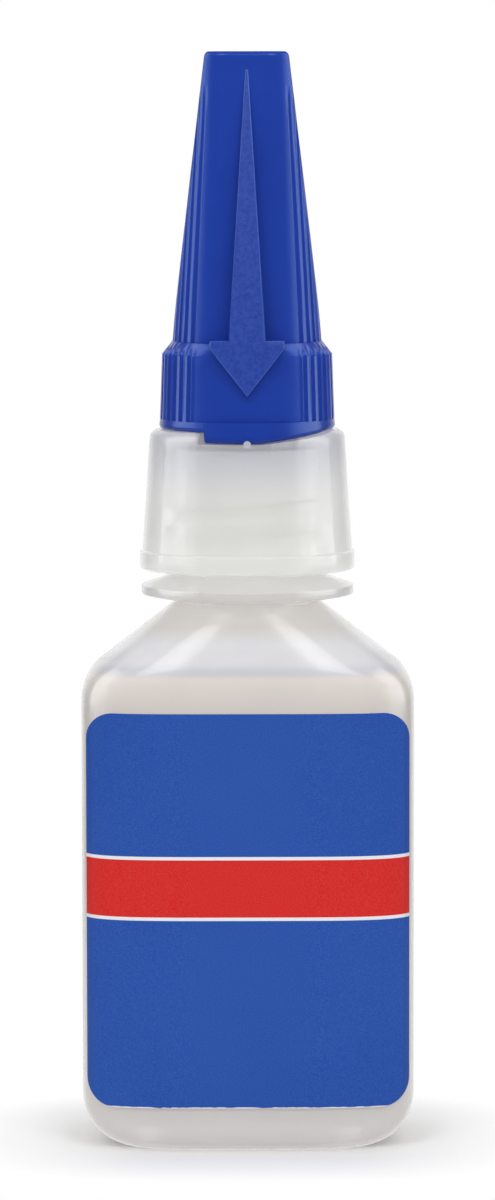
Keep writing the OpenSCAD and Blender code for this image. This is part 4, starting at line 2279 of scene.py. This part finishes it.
    def _set_arrow_vert(self, vert: bmesh.types.BMVert, on_face: bool) -> None:
        """Sets a vertex of the arrow on its leaning face, or spread by the draft in the cap.

        Args:
            vert: The vertex, still on the flat outline.
            on_face: Whether it belongs to the arrow's face.
        """
        x, z = vert.co.x, vert.co.z
        leant = clamp((z - self.head_z) / (self.shaft_z - self.head_z))
        end_at = self.panel_at(self.shaft_z) + self.shaft_end_out
        face_at = blend(self.skirt_top_r + self.arrow_out, end_at, leant)
        on_head = z < self.head_z - self.arrow_edge
        root_at = self.arrow_root_r if on_head else self.panel_at(z) - self.arrow_out
        if on_face:
            vert.co = Vector((x, -face_at, z)) * MM
        else:
            spread = 1.0 + self.draft * (face_at - root_at) / max(abs(x), self.shaft_top_w)
            vert.co = Vector((x * spread, -root_at, z)) * MM


@dataclass
class SealingPin:
    """The steel pin in the cap that keeps the spout clear."""

    cap: Cap
    radius: float = 0.45
    length: float = 9.1
    hold: float = 3.2
    tip_share: float = 0.7
    tip_h: float = 0.6
    tip_edges: tuple[float, float] = (0.12, 0.3)
    top_edge: float = 0.05
    columns: int = 48

    def build(self, finish: bpy.types.Material) -> bpy.types.Object:
        """Builds the pin by spinning its profile, with a rounded tip.

        Args:
            finish: The pin's steel.

        Returns:
            The pin.
        """
        top_z = self.cap.boss_z + self.hold
        low_z = top_z - self.length
        profile = rounded(
            [
                (0.0, low_z, 0.0),
                (self.radius * self.tip_share, low_z, self.tip_edges[0]),
                (self.radius, low_z + self.tip_h, self.tip_edges[1]),
                (self.radius, top_z, self.top_edge),
                (0.0, top_z, 0.0),
            ]
        )
        piece = settle(spun(profile, self.columns, False), "sealing_pin_wire", [finish])
        return place(piece, Body.PIN, "sealing_pin")


# Studio


@dataclass
class Lamp:
    """A soft rectangular lamp that looks at the pack."""

    name: str
    spot: Point
    size: tuple[float, float]
    watts: float
    use: Use = Use.ALL
    aim: Point = (0.0, 0.0, 0.055)

    def build(self) -> None:
        """Builds the lamp."""
        data = bpy.data.lights.new(self.name, "AREA")
        data.shape = "RECTANGLE"
        data.size, data.size_y = self.size
        data.energy = self.watts
        lamp = bpy.data.objects.new(self.name, data)
        lamp.location = self.spot
        way = Vector(self.aim) - Vector(self.spot)
        lamp.rotation_euler = way.to_track_quat("-Z", "Y").to_euler()
        lamp.visible_diffuse = self.use is not Use.SHEEN
        lamp.visible_glossy = self.use is not Use.FILL
        bpy.context.scene.collection.objects.link(lamp)


@dataclass
class Studio:
    """The camera, the lamps, the pale floor and the white surroundings."""

    distance: float = 0.553
    aim_z: float = 0.0525
    elevation: float = 5.4
    tilt: float = 5.424
    roll: float = -0.1
    lens: float = 172.08
    sensor: float = 36.0
    near: float = 0.01
    fill_front: float = 0.7
    fill_back: float = 0.45
    room: float = 0.15
    backdrop_from: float = 0.7
    backdrop_over: float = 0.2
    floor_r: float = 0.16
    floor_sides: int = 96
    floor_paint: Paint = (0.92, 0.92, 0.92, 1.0)
    base_run: float = 0.007
    fade_from: float = 0.0105
    fade_over: float = 0.013
    lamps: list[Lamp] = field(
        default_factory=lambda: [
            Lamp("left_card", (-0.49, 0.02, 0.26), (0.38, 0.6), 2.2, Use.SHEEN),
            Lamp("right_card", (0.49, 0.02, 0.26), (0.38, 0.6), 2.2, Use.SHEEN),
            Lamp("left_front_card", (-0.83, -0.35, 0.14), (0.25, 0.5), 0.45, Use.SHEEN),
            Lamp("right_front_card", (0.83, -0.35, 0.14), (0.25, 0.5), 0.7, Use.SHEEN),
            Lamp("left_key", (-0.24, -0.56, 0.76), (0.32, 0.32), 1.6),
            Lamp("right_key", (0.24, -0.56, 0.76), (0.32, 0.32), 1.6),
            Lamp("top_soft", (0.0, 0.15, 0.85), (0.5, 0.5), 0.8, Use.FILL),
            Lamp("rear_soft", (0.0, 0.85, 0.45), (0.6, 0.4), 1.4, Use.FILL),
        ]
    )

    def build(self) -> None:
        """Builds the camera, lamps, floor and surroundings."""
        self.build_camera()
        for lamp in self.lamps:
            lamp.build()
        self.build_floor()
        self.build_surroundings()
        bpy.context.scene.view_settings.view_transform = "Standard"

    def build_camera(self) -> None:
        """Builds the camera, for a frame that is taller than wide."""
        data = bpy.data.cameras.new("photo_camera")
        data.sensor_fit = "VERTICAL"
        data.sensor_height = self.sensor
        data.lens = self.lens
        data.clip_start = self.near
        camera = bpy.data.objects.new("photo_camera", data)
        back = -self.distance * cos_deg(self.elevation)
        spot = Vector((0.0, back, self.aim_z + self.distance * sin_deg(self.elevation)))
        lean = Matrix.Rotation(math.radians(QUARTER_TURN - self.tilt), 4, "X")
        roll = Matrix.Rotation(math.radians(self.roll), 4, "Z")
        camera.matrix_world = Matrix.Translation(spot) @ lean @ roll
        bpy.context.scene.collection.objects.link(camera)
        bpy.context.scene.camera = camera

    def build_floor(self) -> None:
        """Builds the floor, which keeps the shadow near the pack and is plain white further off."""
        bm = bmesh.new()
        bmesh.ops.create_circle(bm, cap_ends=True, segments=self.floor_sides, radius=self.floor_r)
        g = Graph.of_material("pale_floor")
        x, y, _ = g.parts(g.spot())
        side = (abs(x) - self.base_run).most(0.0)
        away = (side * side + y * y).raised(0.5)
        far = ((away - self.fade_from) / self.fade_over).held()
        camera, seen = self._looks(g)
        paint = g.out(g.node("BsdfDiffuse", {}, {"Color": self.floor_paint}))
        white = g.out(g.node("Emission", {}, {"Color": WHITE, "Strength": 1.0}))
        shader = g.node("MixShader", {}, {0: (far * camera).most(seen), 1: paint, 2: white})
        settle(bm, "studio_floor", [g.finish(shader)])

    def build_surroundings(self) -> None:
        """Makes the world: white to see, a white backdrop in reflections, soft fill as light."""
        world = bpy.data.worlds.new("studio_white")
        bpy.context.scene.world = world
        g = Graph(world)
        camera, seen = self._looks(g)
        _, back, _ = g.parts(g.out(g.node("TexCoord"), "Generated"))
        near = ((back - self.backdrop_from) / self.backdrop_over).held()
        backdrop = self.room + (1.0 - self.room) * near
        fill = self.fill_back + (self.fill_front - self.fill_back) * (0.5 - 0.5 * back)
        light = seen * backdrop + (1.0 - seen) * fill
        strength = camera + (1.0 - camera) * light
        shader = g.node("Background", {}, {"Color": WHITE, "Strength": strength})
        g.finish(shader, "OutputWorld")

    @staticmethod
    def _looks(g: Graph) -> tuple[Sock, Sock]:
        """Tells rays that look from rays that light.

        Args:
            g: The graph that asks.

        Returns:
            1 for a camera ray, and 1 for a reflected or transmitted ray.
        """
        path = g.node("LightPath")
        through = g.out(path, "Is Transmission Ray")
        return g.out(path, "Is Camera Ray"), g.out(path, "Is Glossy Ray").most(through)


def report(piece: bpy.types.Object) -> None:
    """Logs a finished piece with its number of faces."""
    log.info("%s: %d faces", piece.name, len(piece.data.polygons))


def main() -> None:
    """Loads the frame, builds the studio and every piece in order, and reports each piece."""
    logging.basicConfig(level=logging.INFO, format="%(name)s: %(message)s")
    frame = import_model()
    log.info("frame: %d solids", len(frame["nodes"]))
    Studio().build()
    bottle = Bottle()
    collar = Collar(bottle)
    cap = Cap(collar)
    report(bottle.build(BLOWN.material("bottle_plastic_natural")))
    report(Adhesive(bottle).build(ClearLiquid().material("adhesive_clear")))
    printed = PrintedFilm(Label.foot).material("label_print")
    stock = FilmStock().material("label_stock")
    for side in Side:
        report(Label(bottle, side).build(printed, stock))
    report(collar.build(MOULDED.material("collar_plastic_natural")))
    report(Nozzle(bottle, collar).build(INSERT.material("nozzle_plastic_natural")))
    plain = CapPlastic().material("cap_plastic_blue")
    etched = EtchedPlastic().material("cap_plastic_etched")
    for piece in cap.build(plain, etched, PAINTED_EDGE_HIGHLIGHT.material("cap_plastic_painted_highlight")):
        report(piece)
    report(SealingPin(cap).build(DrawnSteel().material("pin_drawn_steel")))


if __name__ == "__main__":
    main()
